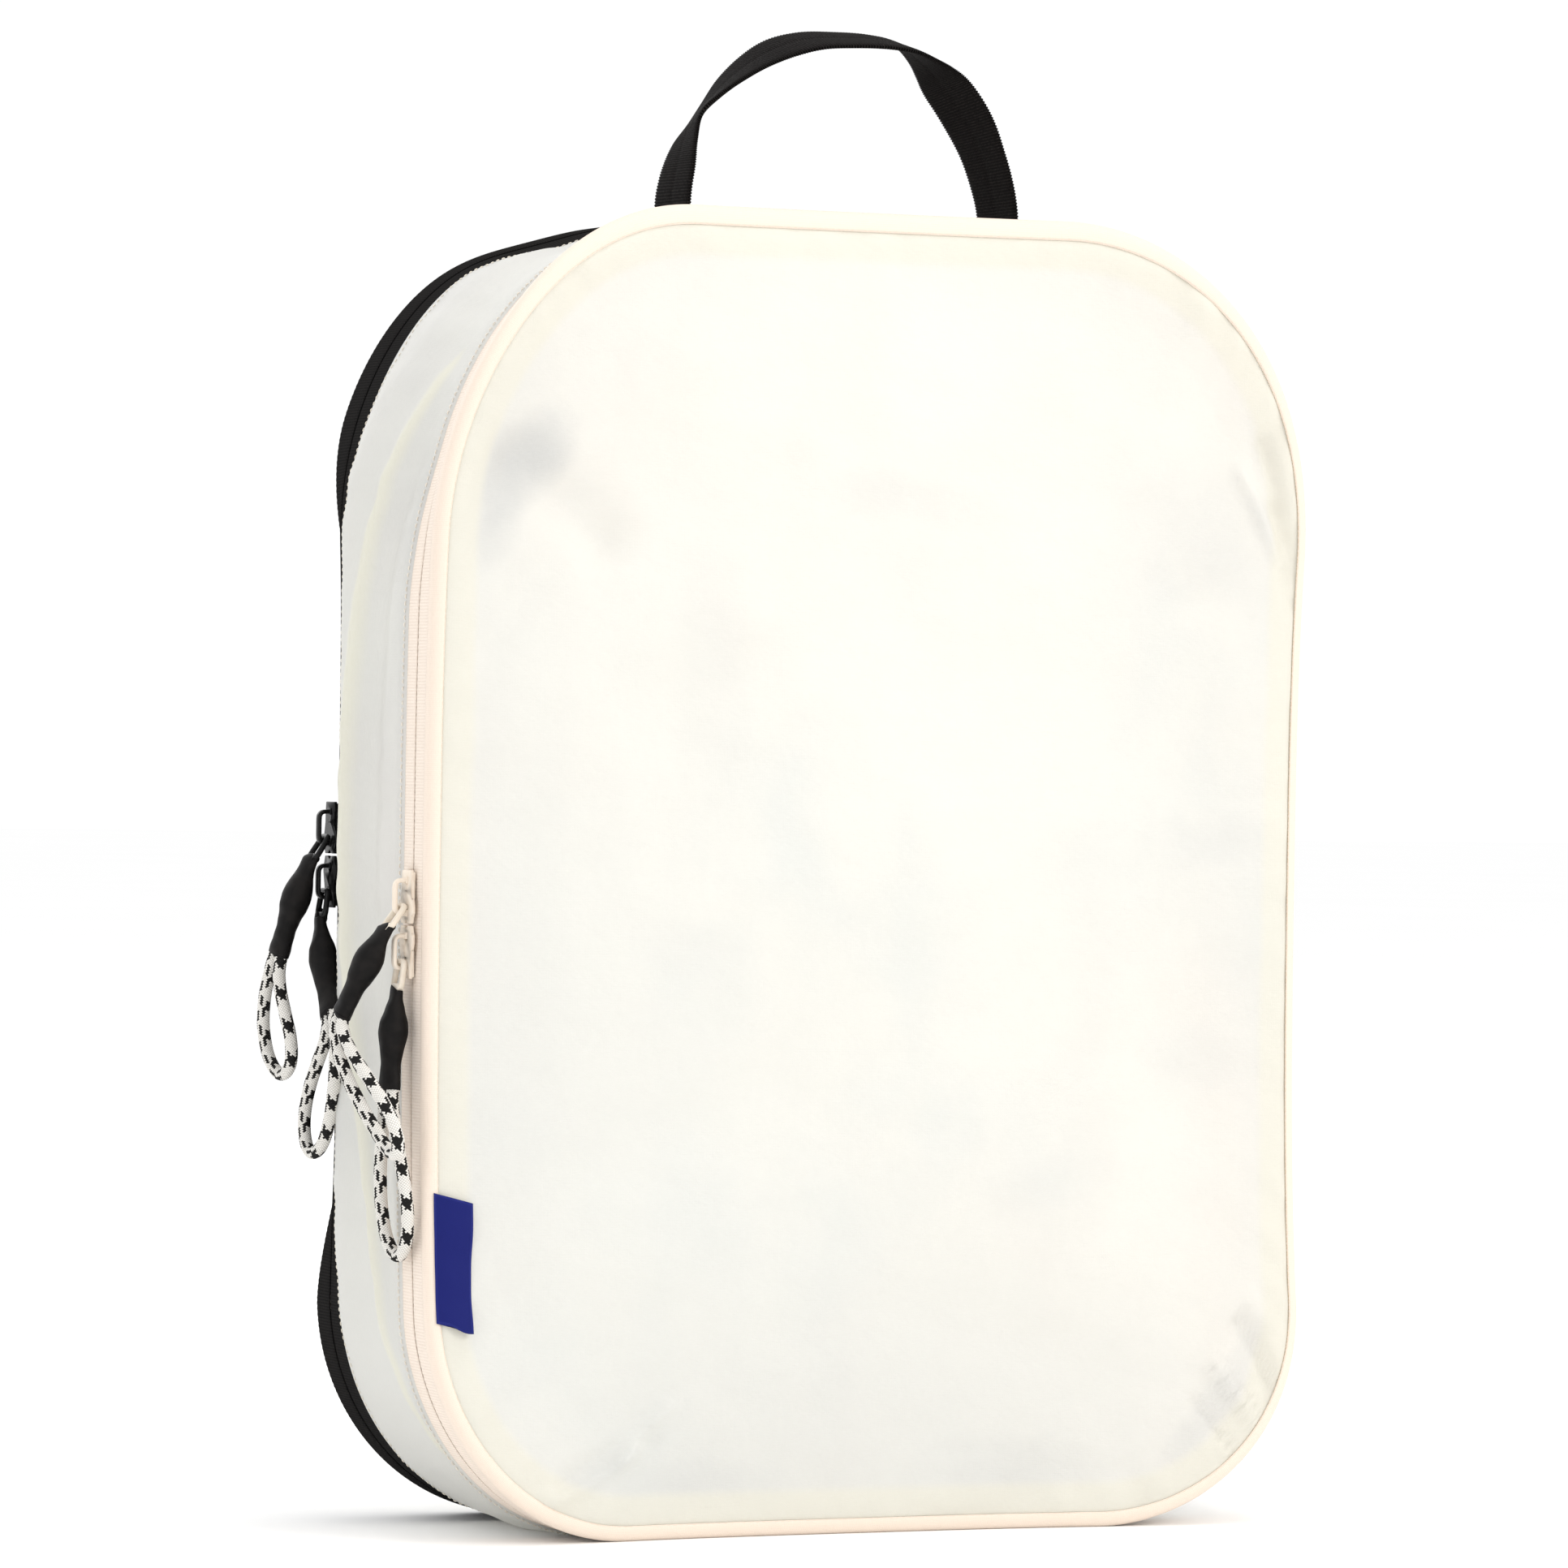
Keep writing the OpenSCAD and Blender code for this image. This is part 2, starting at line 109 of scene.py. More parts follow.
# ---- materials


class Paint:
    """A material's node tree, with short calls for the nodes that it uses."""

    def __init__(self, name, rough=0.5):
        self.material = bpy.data.materials.new(name)
        self.material.use_nodes = True
        self.tree = self.material.node_tree
        self.shader = self.tree.nodes["Principled BSDF"]
        self.shader.inputs["Roughness"].default_value = rough

    def node(self, kind, inputs=(), **settings):
        n = self.tree.nodes.new("ShaderNode" + kind)
        for key, value in settings.items():
            setattr(n, key, value)
        for key, value in dict(inputs).items():
            self.put(value, n.inputs[key])
        return n

    def put(self, value, socket):
        if isinstance(value, bpy.types.NodeSocket):
            self.tree.links.new(value, socket)
        else:
            socket.default_value = value

    def maths(self, operation, a, b=0.0):
        return self.node("Math", {0: a, 1: b}, operation=operation).outputs[0]

    def plus(self, a, b, times=1.0):
        """a and so many times b."""
        return self.maths("ADD", a, b if times == 1.0 else self.maths("MULTIPLY", b, times))

    def mix(self, factor, a, b):
        n = self.node("Mix", data_type="RGBA")
        for index, value in ((0, factor), (6, a), (7, b)):
            self.put(value, n.inputs[index])
        return n.outputs[2]

    def ramp(self, value, low, high):
        """0 to 1 as value goes from low to high, smoothly."""
        return self.node("MapRange", {"Value": value, "From Min": low, "From Max": high},
                         interpolation_type="SMOOTHSTEP").outputs[0]

    def over(self, colour, other, value, low, high, share):
        """colour, with up to a share of other over it as value goes from low to high."""
        return self.mix(self.maths("MULTIPLY", self.ramp(value, low, high), share), colour, other)

    def place(self):
        """A point's place on its piece: across, along, and in from the edge."""
        return self.node("Attribute", attribute_name="cloth", attribute_type="GEOMETRY").outputs["Vector"]

    def metres(self):
        return self.node("TexCoord").outputs["Object"]

    def scaled(self, vector, factors):
        return self.node("VectorMath", {0: vector, 1: factors}, operation="MULTIPLY").outputs[0]

    def dot(self, vector, factors):
        return self.node("VectorMath", {0: vector, 1: factors}, operation="DOT_PRODUCT").outputs["Value"]

    def parts(self, vector):
        return self.node("SeparateXYZ", {0: vector}).outputs

    def noise(self, vector, scale, detail=2.0, rough=0.5):
        """scale is one number, or one for each axis."""
        if isinstance(scale, tuple):
            vector, scale = self.scaled(vector, scale), 1.0
        return self.node("TexNoise", {"Vector": vector, "Scale": scale, "Detail": detail,
                                      "Roughness": rough}).outputs["Fac"]

    def patch(self, vector, x, z, wide, high, turn):
        """The squared distance from the middle of a turned oval, 1 at its rim."""
        c, s = math.cos(math.radians(turn)), math.sin(math.radians(turn))
        total = 0.0
        for a, b, size in ((c, s, wide), (-s, c, high)):
            away = self.maths("SUBTRACT", self.dot(vector, (a / size, b / size, 0)), (a * x + b * z) / size)
            total = self.plus(self.maths("MULTIPLY", away, away), total)
        return total

    def bump(self, height, strength, distance, normal=None):
        n = self.node("Bump", {"Height": height, "Strength": strength, "Distance": distance * MM})
        if normal is not None:
            self.put(normal, n.inputs["Normal"])
        return n.outputs[0]

    def wave(self, position, period):
        """A row of round ribs along one axis: 0 to 1 and back once a period."""
        turns = self.maths("MULTIPLY", position, math.pi / period)
        return self.maths("ABSOLUTE", self.maths("SINE", turns))

    def done(self, colour, normal=None, **values):
        self.put(colour, self.shader.inputs["Base Color"])
        if normal is not None:
            self.put(normal, self.shader.inputs["Normal"])
        for key, value in values.items():
            self.shader.inputs[key.replace("_", " ")].default_value = value
        return self.material

    def see_light(self, share, colour):
        """Lets some of the light that falls on the far side through, as thin cloth does."""
        thin = self.node("BsdfTranslucent", {"Color": colour})
        both = self.node("MixShader", {0: share, 1: self.shader.outputs[0], 2: thin.outputs[0]})
        self.tree.links.new(both.outputs[0], self.tree.nodes["Material Output"].inputs["Surface"])


def grey(value):
    return (value, value, value, 1)


def ripstop(name, light, cool, warm, seam, shade_patches=()):
    """Thin white cloth, yellower near a seam or fold, with painted shade in soft mottles. Given patches of
    painted shade, as in the table of them below, it also paints shade towards the lower left and in each patch.
    """
    p = Paint(name, 0.5)
    place, room = p.place(), p.metres()
    across, along, edge = p.parts(place)
    # Painted shade: soft mottles of cool grey and warm cream over the lighter cloth, for the shade of the
    # contents behind it
    colour = p.mix(p.ramp(p.noise(room, (9, 9, 7)), 0.3, 0.7), cool, warm)
    colour = p.mix(p.ramp(p.noise(room, (20.8, 20.8, 15.6), 3.0), 0.3, 0.62), colour, light)
    if shade_patches:
        # Painted shade: a panel turns cooler and darker towards its lower left, away from the key light
        colour = p.over(colour, cool, p.dot(place, (0.0045, 0.003, 0)), 0.75, -0.1, 0.55)
    cloudy = p.maths("MULTIPLY", p.noise(place, (0.05, 0.05, 0), 3.0), 0.9)
    # Painted shade in each patch, for a dent, a crease or the contents behind the cloth: greyer towards its
    # middle, with a cloudy rim
    for x, z, wide, high, turn, depth in shade_patches:
        rim = p.plus(p.patch(place, x, z, wide, high, turn), cloudy)
        colour = p.over(colour, SHADE_GREY, rim, 1.5, 0.1, depth)
    colour = p.over(colour, seam, edge, 10.5, 7.0, 0.6)
    fine = p.noise(place, (0.5, 3.4, 0), 3.0, 0.65)
    colour = p.over(colour, grey(1.0), fine, 0.35, 0.75, 0.10)
    weave = p.plus(p.wave(across, THREADS), p.wave(along, THREADS))
    normal = p.bump(p.noise(place, (0.11, 0.16, 0), 4.0, 0.6), 0.35, 1.4)
    normal = p.bump(p.plus(weave, fine, 1.5), 0.16, 0.12, normal)
    p.put(p.node("MapRange", {"Value": fine, "To Min": 0.40, "To Max": 0.58}).outputs[0],
          p.shader.inputs["Roughness"])
    p.see_light(0.30, light)
    return p.done(colour, normal, Sheen_Weight=0.12, Sheen_Roughness=0.4, Specular_IOR_Level=0.35)


def knit(name, colour, shade, strength, rough=0.75, period=0.62, sheen=0.1, shine=0.2):
    """Zipper tape and seam binding: skewed rows of small loops."""
    p = Paint(name, rough)
    across, along, _ = p.parts(p.place())
    rows = p.wave(along, period)
    loops = p.maths("MULTIPLY", rows, p.wave(p.plus(across, rows, 0.35), period * 1.35))
    speckle = p.noise(p.place(), (1.7, 2.6, 1), 3.0, 0.7)
    tone = p.plus(p.maths("MULTIPLY", loops, 0.45), speckle, 0.6)
    normal = p.bump(p.plus(loops, speckle), strength, 0.22)
    return p.done(p.mix(p.ramp(tone, 0.2, 0.75), shade, colour), normal, Sheen_Weight=sheen,
                  Specular_IOR_Level=shine)


def webbing(name):
    """Black ribbed webbing, with a patchy painted highlight on the crowns of its ribs."""
    p = Paint(name, 0.62)
    across, along, _ = p.parts(p.place())
    ribs = p.wave(across, RIB)
    threads = p.wave(p.plus(along, ribs, 0.2), 0.55)
    fuzz = p.noise(p.place(), (2.0, 1.2, 1), 3.0, 0.7)
    both = p.plus(threads, fuzz)
    colour = p.mix(p.ramp(p.maths("MULTIPLY", both, 0.5), 0.25, 0.85), grey(0.002), (0.0125, 0.0112, 0.0108, 1))
    # Painted highlight: paler, patchy colour on the crowns of the ribs
    crown = p.maths("MULTIPLY", ribs, fuzz)
    colour = p.over(colour, (0.045, 0.038, 0.037, 1), crown, 0.3, 0.75, 0.5)
    return p.done(colour, p.bump(both, 0.45, 0.14), Specular_IOR_Level=0.02)


def braid(name):
    """White cord of strands two over and two under, with black ones side by side each way round."""
    p = Paint(name, 0.68)
    around, along, _ = p.parts(p.place())
    one, other = p.plus(around, along), p.maths("SUBTRACT", around, along)
    both = p.plus(p.maths("FLOOR", one), p.maths("FLOOR", other))
    over = p.maths("LESS_THAN", p.maths("FLOORED_MODULO", both, 4.0), 1.5)
    first, second = (p.maths("LESS_THAN", p.maths("FLOORED_MODULO", v, STRANDS), BLACK_STRANDS)
                     for v in (one, other))
    under = p.maths("SUBTRACT", 1.0, over)
    black = p.plus(p.maths("MULTIPLY", over, first), p.maths("MULTIPLY", under, second))
    fibre = p.noise(p.place(), (2.2, 2.2, 1), 4.0, 0.75)
    pillow = p.maths("MULTIPLY", p.wave(one, 1.0), p.wave(other, 1.0))
    # Painted shade: the white strands darken towards their edges, in the grooves between them
    white = p.mix(p.ramp(p.plus(pillow, fibre, 0.5), 0.1, 0.85), (0.46, 0.44, 0.40, 1), (0.84, 0.82, 0.78, 1))
    dark = p.mix(p.ramp(fibre, 0.3, 0.8), grey(0.005), (0.016, 0.015, 0.014, 1))
    normal = p.bump(p.plus(pillow, fibre, 0.6), 0.7, 0.16)
    return p.done(p.mix(black, white, dark), normal, Specular_IOR_Level=0.15)


def moulded(name, colour, worn, rough, grain, strength, coat=0.0, shine=0.3):
    """Plastic, enamel or thread: two close colours, and a grain of so many lumps a metre."""
    p = Paint(name, rough)
    place = p.metres()
    tone = p.noise(place, 260.0)
    normal = p.bump(p.noise(place, grain, 3.0, 0.6), strength, 0.25)
    marks = {"Value": p.noise(place, 900.0, 3.0, 0.6), "To Min": rough - 0.08, "To Max": rough + 0.12}
    p.put(p.node("MapRange", marks).outputs[0], p.shader.inputs["Roughness"])
    return p.done(p.mix(p.ramp(tone, 0.35, 0.7), colour, worn), normal, Coat_Weight=coat,
                  Coat_Roughness=0.12, Specular_IOR_Level=shine)


def woven_label(name, colour, thread, border):
    p = Paint(name, 0.5)
    across, along, edge = p.parts(p.place())
    satin = p.noise(p.place(), (1.2, 5.0, 1), 3.0, 0.6)
    twill = p.plus(p.wave(p.plus(across, along), 0.34), satin)
    body = p.mix(p.ramp(twill, 0.4, 1.4), colour, thread)
    return p.done(p.mix(p.ramp(edge, 0.75, 0.35), body, border), p.bump(twill, 0.35, 0.1),
                  Specular_IOR_Level=0.05)


# The ripstop's thread spacing, and the grey of the painted shade in the panels' dents and creases and of the
# contents behind the cloth
THREADS, SHADE_GREY = 0.42, (0.56, 0.575, 0.59, 1)
# Painted shade on the panels, in dents, along creases and where the contents show through: x, z, half width,
# half height, turn in degrees, depth
SHADE_PATCHES = [
    (-107, 288, 24, 13, 47, 0.8), (-113, 270, 14, 8, 60, 0.35), (94, 276, 34, 26, -35, 0.26),
    (118, 296, 8, 20, 22, 0.24), (117, 276, 5, 18, 35, 0.28), (4, 282, 34, 9, -6, 0.16),
    (-52, 235, 14, 55, 4, 0.14), (100, 190, 28, 10, 8, 0.16), (98, 130, 24, 12, -10, 0.16),
    (52, 96, 26, 9, 10, 0.14), (-58, 158, 22, 11, -12, 0.12), (43, 16, 36, 13, 0, 0.26),
    (-50, 14, 36, 9, 0, 0.24), (104, 32, 6, 28, -46, 0.3), (112, 46, 5, 22, -42, 0.24),
    (-84, 17, 5, 20, -62, 0.26), (112, 190, 38, 150, 0, 0.13), (20, 20, 150, 60, 0, 0.16),
    (-116, 130, 34, 130, 0, 0.13),
]
WHITE = ripstop("white_ripstop", (0.875, 0.86, 0.81, 1), (0.785, 0.80, 0.775, 1),
                (0.875, 0.835, 0.78, 1), (0.85, 0.825, 0.70, 1), SHADE_PATCHES)
# Painted shade: the gusset is a darker copy of the white ripstop, for the shade on the sides, top and bottom
SHADED_GUSSET = ripstop("white_gusset_shaded", (0.765, 0.765, 0.735, 1), (0.67, 0.675, 0.66, 1),
                 (0.745, 0.72, 0.70, 1), (0.87, 0.85, 0.68, 1))
CREAM = knit("cream_tape", (0.91, 0.81, 0.715, 1), (0.75, 0.635, 0.54, 1), 0.5)
CREAM_FOLD = knit("cream_fold", (0.845, 0.735, 0.63, 1), (0.79, 0.67, 0.57, 1), 0.25, 0.6, 0.4)
BLACK_TAPE = knit("black_tape", (0.026, 0.0245, 0.024, 1), grey(0.010), 0.4, 0.8, 0.62, 0.0, 0.0)
WEBBING = webbing("black_webbing")
CORD = braid("braided_cord")
NAVY = woven_label("navy_label", (0.009, 0.012, 0.095, 1), (0.014, 0.019, 0.145, 1), (0.02, 0.026, 0.17, 1))
SATIN = woven_label("white_satin", (0.80, 0.80, 0.78, 1), (0.88, 0.88, 0.86, 1), (0.7, 0.7, 0.68, 1))
CREAM_METAL = moulded("cream_enamel", (0.80, 0.70, 0.59, 1), (0.84, 0.75, 0.64, 1), 0.38, 400, 0.08, 0.05, 0.12)
BLACK_METAL = moulded("black_enamel", grey(0.004), grey(0.007), 0.28, 400, 0.08, 0.05, 0.18)
CREAM_PLASTIC = moulded("cream_plastic", (0.73, 0.65, 0.54, 1), (0.77, 0.70, 0.60, 1), 0.42, 500, 0.1, 0, 0.15)
BLACK_PLASTIC = moulded("black_plastic", grey(0.005), grey(0.009), 0.3, 500, 0.1, 0, 0.2)
SLEEVE = moulded("black_shrink_sleeve", (0.007, 0.0065, 0.0065, 1), (0.012, 0.0105, 0.010, 1),
                 0.5, 180, 0.5, 0, 0.09)
CREAM_COIL = moulded("cream_coil", (0.78, 0.70, 0.58, 1), (0.82, 0.75, 0.65, 1), 0.35, 700, 0.1)
BLACK_COIL = moulded("black_coil", grey(0.006), grey(0.010), 0.35, 700, 0.1, 0, 0.2)
TAN_THREAD = moulded("tan_thread", (0.66, 0.50, 0.30, 1), (0.76, 0.62, 0.42, 1), 0.7, 2500, 0.5)
PALE_THREAD = moulded("pale_thread", (0.74, 0.68, 0.58, 1), (0.82, 0.77, 0.68, 1), 0.7, 2500, 0.5)
BLACK_THREAD = moulded("black_thread", (0.010, 0.009, 0.008, 1), (0.022, 0.020, 0.018, 1), 0.6, 2500, 0.5)

# ---- meshes


def grid(name, points, material, close_u=False, close_v=False, coord=None, cap=False):
    """A net of quads over points[i, j]. coord is the same table one longer each way where it closes."""
    points = np.asarray(points, float)
    if cap:
        ends = [np.repeat(points[k].mean(0)[None], points.shape[1], 0)[None] for k in (0, -1)]
        points = np.concatenate([ends[0], points, ends[1]])
        if coord is not None:
            coord = np.concatenate([coord[:1], coord, coord[-1:]])
    n, m = points.shape[:2]
    i, j = np.meshgrid(np.arange(n if close_u else n - 1), np.arange(m if close_v else m - 1), indexing="ij")
    corners = [(i, j), (i + 1, j), (i + 1, j + 1), (i, j + 1)]
    quads = np.stack([(a % n) * m + b % m for a, b in corners], -1).reshape(-1, 4)
    mesh = bpy.data.meshes.new(name)
    mesh.vertices.add(n * m)
    mesh.vertices.foreach_set("co", (points * MM).astype(np.float32).ravel())
    mesh.loops.add(quads.size)
    mesh.loops.foreach_set("vertex_index", quads.astype(np.int32).ravel())
    mesh.polygons.add(len(quads))
    mesh.polygons.foreach_set("loop_start", np.arange(0, quads.size, 4, dtype=np.int32))
    mesh.update(calc_edges=True)
    if coord is not None:
        values = np.stack([coord[a, b] for a, b in corners], -2)
        layer = mesh.attributes.new("cloth", "FLOAT_VECTOR", "CORNER")
        layer.data.foreach_set("vector", values.astype(np.float32).ravel())
    return add(name, mesh, material, cap or close_v)


def add(name, mesh, material, closed=True):
    """An object of a mesh, smooth, with doubled corners merged."""
    bm = bmesh.new()
    bm.from_mesh(mesh)
    bmesh.ops.remove_doubles(bm, verts=bm.verts, dist=1e-6)
    if closed:
        bmesh.ops.recalc_face_normals(bm, faces=bm.faces)
    bm.to_mesh(mesh)
    bm.free()
    mesh.materials.append(material)
    mesh.polygons.foreach_set("use_smooth", [True] * len(mesh.polygons))
    o = bpy.data.objects.new(name, mesh)
    bpy.context.scene.collection.objects.link(o)
    return o


def join(name, parts):
    """Makes one object of several, keeping their materials."""
    with bpy.context.temp_override(active_object=parts[0], selected_editable_objects=parts,
                                   selected_objects=parts, object=parts[0]):
        bpy.ops.object.join()
    parts[0].name = parts[0].data.name = name
    return parts[0]


def on(o, body, slot, *nodes):
    """Puts a finished piece on its body and hides the frame nodes that it stands for. slot is not used."""
    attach(o, body)
    if nodes:
        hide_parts(*nodes)
    return o


def smooth(t):
    """0 to 1 as t does, easing in and out."""
    t = np.clip(t, 0.0, 1.0)
    return t * t * (3 - 2 * t)


def unit(v):
    """A vector, or each row of a table of them, at length 1."""
    return v / np.linalg.norm(v, axis=-1, keepdims=True)


# ---- the outline and the walls


def quarter(cx, cz, rx, rz, first):
    a = np.radians(np.linspace(first, first + 90, 300))
    return np.stack([cx + rx * np.cos(a), cz + rz * np.sin(a)], 1)


START_Z = 165.0
rough_line = np.concatenate([
    [[HALF_W, START_Z]],
    quarter(HALF_W - TOP_RX, HIGH - TOP_RZ, TOP_RX, TOP_RZ, 0),
    quarter(TOP_RX - HALF_W, HIGH - TOP_RZ, TOP_RX, TOP_RZ, 90),
    quarter(LOW_RX - HALF_W, LOW_RZ, LOW_RX, LOW_RZ, 180),
    quarter(HALF_W - LOW_RX, LOW_RZ, LOW_RX, LOW_RZ, 270),
    [[HALF_W, START_Z]]])
run = np.concatenate([[0], np.cumsum(np.hypot(*np.diff(rough_line, axis=0).T))])
ROUND = run[-1]
S = np.arange(0, ROUND, 0.5)
LINE = np.stack([np.interp(S, run, rough_line[:, k]) for k in (0, 1)], 1)
slope = unit(np.roll(LINE, -3, 0) - np.roll(LINE, 3, 0))
NORMAL = np.stack([slope[:, 1], -slope[:, 0]], 1)


def at(s, table):
    """What a table over S says at any distance round the outline."""
    s = np.asarray(s, float) % ROUND
    return np.interp(s, np.append(S, ROUND), np.append(table, table[0]))


def station(x_side, z):
    """The distance round the outline at a height on the left (-1) or right (1) side."""
    return float(S[np.argmin(np.abs(LINE[:, 1] - z) + 1e3 * (np.sign(LINE[:, 0]) != x_side))])


def waves(s, seed, short, long, count=9):
    """A sum of sines of random lengths and phases, about 1 high, that closes round the outline."""
    r = np.random.default_rng(seed)
    total = 0.0
    for _ in range(count):
        turns = round(ROUND / r.uniform(short, long))
        total = total + np.sin(2 * math.pi * (turns * s / ROUND + r.random())) * r.uniform(0.6, 1)
    return total / math.sqrt(count)


def ripples(x, z, seed, short, long, count=12):
    """A sum of sines that run every way over x and z, about 1 high."""
    r = np.random.default_rng(seed)
    total = 0.0
    for _ in range(count):
        a, length = r.uniform(0, math.pi), r.uniform(short, long)
        total = total + np.sin(2 * math.pi * ((x * math.cos(a) + z * math.sin(a)) / length + r.random()))
    return total / math.sqrt(count)


# How far each seam shifts along Y at its top corners and at its low ones
FRONT_RUN, REAR_RUN = (-27.7, -18.8), (14.2, 2.4)
# The top's sag: how deep, where it is each side of the middle, and how wide
SAG, SAG_X, SAG_WIDE = 7.3, 72, 22
# The depth of the valley behind the front seam, and how much shallower it is in the middle
TUCK, TUCK_LESS = 4.6, 2.6


def corner_shift(x, z, t):
    """The seams run out of their planes at the corners: t is 0 at the front seam and 1 at the rear one."""
    corner = np.abs(x / HALF_W) ** 3 * np.abs((z - MID_Z) / MID_Z) ** 3
    front, rear = (np.where(z > MID_Z, *run) for run in (FRONT_RUN, REAR_RUN))
    return corner * (front * (1 - t) + rear * t)


def top_drop(x, y, z):
    """The top sags beside the corners, most of all just in front of the rear zipper."""
    depth = SAG * smooth((y + 24) / 28) * (1 - 0.42 * smooth((y - 19) / 16))
    return depth * np.exp(-((np.abs(x) - SAG_X) / SAG_WIDE) ** 2) * smooth((z - 285) / 45)


def tuck(x, y, z):
    """The front zipper runs in a valley behind the front seam round the top corners."""
    deep = TUCK - TUCK_LESS * np.exp(-(x / 42) ** 2)
    return deep * smooth((y + 39) / 16) * (1 - smooth((y + 16) / 26)) * smooth((z - 248) / 48)


def fold_line(z):
    """The depth of the soft fold that runs down each side of the gusset."""
    t = np.clip((z - 22) / (335 - 22), 0, 1)
    return -21 + 33 * np.sin(math.pi * t ** 1.15) ** 0.7


def bulge(s, y, x, z):
    """How far the wall stands out of the outline: on the sides a crest before the rear zipper, the soft fold
    and a waist at the rear seam; on the top and bottom a slight crown; and the tuck, which is inwards."""
    side = smooth((np.abs(x) - 104) / 24)
    tall = smooth((z - 30) / 60) * smooth((330 - z) / 60)
    from_crest = y - 14.5
    crest = 4.7 * np.exp(-(np.where(from_crest > 0, from_crest / 4.2, from_crest / 8.0)) ** 2)
    crest = crest * side * (0.2 + 0.8 * tall)
    fold = fold_line(z)
    inside = smooth((y + 21) / 5) * smooth((19.5 - y) / 4)
    dip = -2.6 * np.exp(-((y - (fold - 8)) / 6.0) ** 2)
    ridge = 2.0 * np.exp(-((y - fold) / 2.0) ** 2)
    soft = 0.45 * waves(s, 3, 30, 110) * np.cos(y / 9.0) + 0.2 * waves(s, 4, 9, 22)
    crown = (1 - side) * 1.1 * (1 - ((y + 1) / 21) ** 2)
    waist = -7.0 * smooth((y - 27.5) / 11) * side * smooth((z - 58) / 52) * smooth((305 - z) / 60)
    return crest + inside * ((dip + ridge) * side * tall + soft + crown) + waist - tuck(x, y, z)


def wall(s, y, out=0.0):
    """A point of the cube's wall: s round the outline, at depth y, standing out from the cloth."""
    s, y, out = np.broadcast_arrays(np.asarray(s, float), np.asarray(y, float), np.asarray(out, float))
    x, z = at(s, LINE[:, 0]), at(s, LINE[:, 1])
    nx, nz = at(s, NORMAL[:, 0]), at(s, NORMAL[:, 1])
    out = out + bulge(s, y, x, z)
    x, z = x + nx * out, z + nz * out
    z = z - top_drop(x, y, z)
    return np.stack([x, y + corner_shift(x, z, (y - FRONT_Y) / (REAR_Y - FRONT_Y)), np.maximum(z, 0.0)], -1)


def seam_in(s):
    """How far inside the outline the two big panels' seams run."""
    nz = at(s, NORMAL[:, 1])
    return 3.0 + 2.0 * np.maximum(nz, 0) ** 2 + 1.0 * np.maximum(-nz, 0) ** 2


def loft(name, stations, profile, material, closed=True, ring=True, edge=40.0):
    """Sweeps a profile of (out, y) points round the outline. profile may be a function of the station."""
    stations = np.asarray(stations, float)
    prof = profile(stations) if callable(profile) else np.broadcast_to(
        np.asarray(profile, float), (len(stations),) + np.shape(profile))
    points = wall(stations[:, None], prof[..., 1], prof[..., 0])
    steps = np.hypot(*np.diff(prof[0], axis=0).T)
    down = np.concatenate([[0], np.cumsum(steps)])
    if closed:
        down = np.append(down, down[-1] + np.hypot(*(prof[0, 0] - prof[0, -1])))
    s = np.append(stations, ROUND + stations[0]) if ring else stations
    coord = np.stack(np.broadcast_arrays(s[:, None], down[None, :], edge), -1)
    return grid(name, points, material, ring, closed, coord, cap=closed and not ring)


def tape(y0, y1, outer, thick, steps, round_off=0.18):
    """A flat closed profile from y0 to y1 whose outer face is at outer."""
    y = np.linspace(y0, y1, steps)
    less = np.zeros(steps)
    less[[0, -1]] = round_off
    top = np.stack([outer - less, y], 1)
    low = np.stack([outer - thick + less, y], 1)
    return np.concatenate([top, low[::-1]])


FULL = np.arange(0, ROUND - 0.5, 1.6)
# The corners' middles. The front zipper runs from the top right one, over the top, to the low right one.
HALFWAY = math.sin(math.radians(45))
ZIP_FROM, TOP_LEFT = (station(side, HIGH - TOP_RZ + TOP_RZ * HALFWAY) for side in (1, -1))
ZIP_TO, LOW_LEFT = (station(side, LOW_RZ - LOW_RZ * HALFWAY) for side in (1, -1))
ARC_FROM, ARC_TO = station(1, HIGH - TOP_RZ), station(1, LOW_RZ)


def scallop(s, period=STITCH):
    """An edge's row of small bumps, 0 to 1."""
    return 0.5 + 0.5 * np.cos(2 * math.pi * np.asarray(s) / period)


def stitches(name, stations, y, out, material, dash=1.25, period=STITCH, radius=0.17):
    """A row of sewn stitches lying along the wall at one depth."""
    length = stations[-1] - stations[0]
    starts = stations[0] + np.arange(0, length - period, period)
    t = np.array([0, 0.15, 0.5, 0.85, 1.0])
    sink = np.array([-0.25, -0.02, 0.06, -0.02, -0.25])
    wide = np.array([0.35, 0.95, 1.0, 0.95, 0.35])
    a = np.linspace(0, 2 * math.pi, 7)[:6]
    s = starts[:, None, None] + t[None, :, None] * dash
    ring_y = y + np.cos(a) * radius * wide[None, :, None]
    ring_out = (out(s) if callable(out) else out) + sink[None, :, None]
    ring_out = ring_out + np.sin(a) * radius * wide[None, :, None]
    points = wall(s + 0 * ring_y, ring_y, ring_out)
    k, n, m = points.shape[:3]
    base = np.arange(k)[:, None, None] * n * m
    i, j = np.meshgrid(np.arange(n - 1), np.arange(m), indexing="ij")
    quads = np.stack([i * m + j, (i + 1) * m + j, (i + 1) * m + (j + 1) % m, i * m + (j + 1) % m], -1)
    faces = (base[..., None] + quads[None]).reshape(-1, 4).tolist()
    for b in (np.arange(k) * n * m).tolist():
        faces.append([b + q for q in range(m)])
        faces.append([b + (n - 1) * m + q for q in range(m)])
    mesh = bpy.data.meshes.new(name)
    mesh.from_pydata((points.reshape(-1, 3) * MM).tolist(), [], faces)
    return add(name, mesh, material)


# ---- shell

gusset_y = np.linspace(-22.4, 20.0, 40)
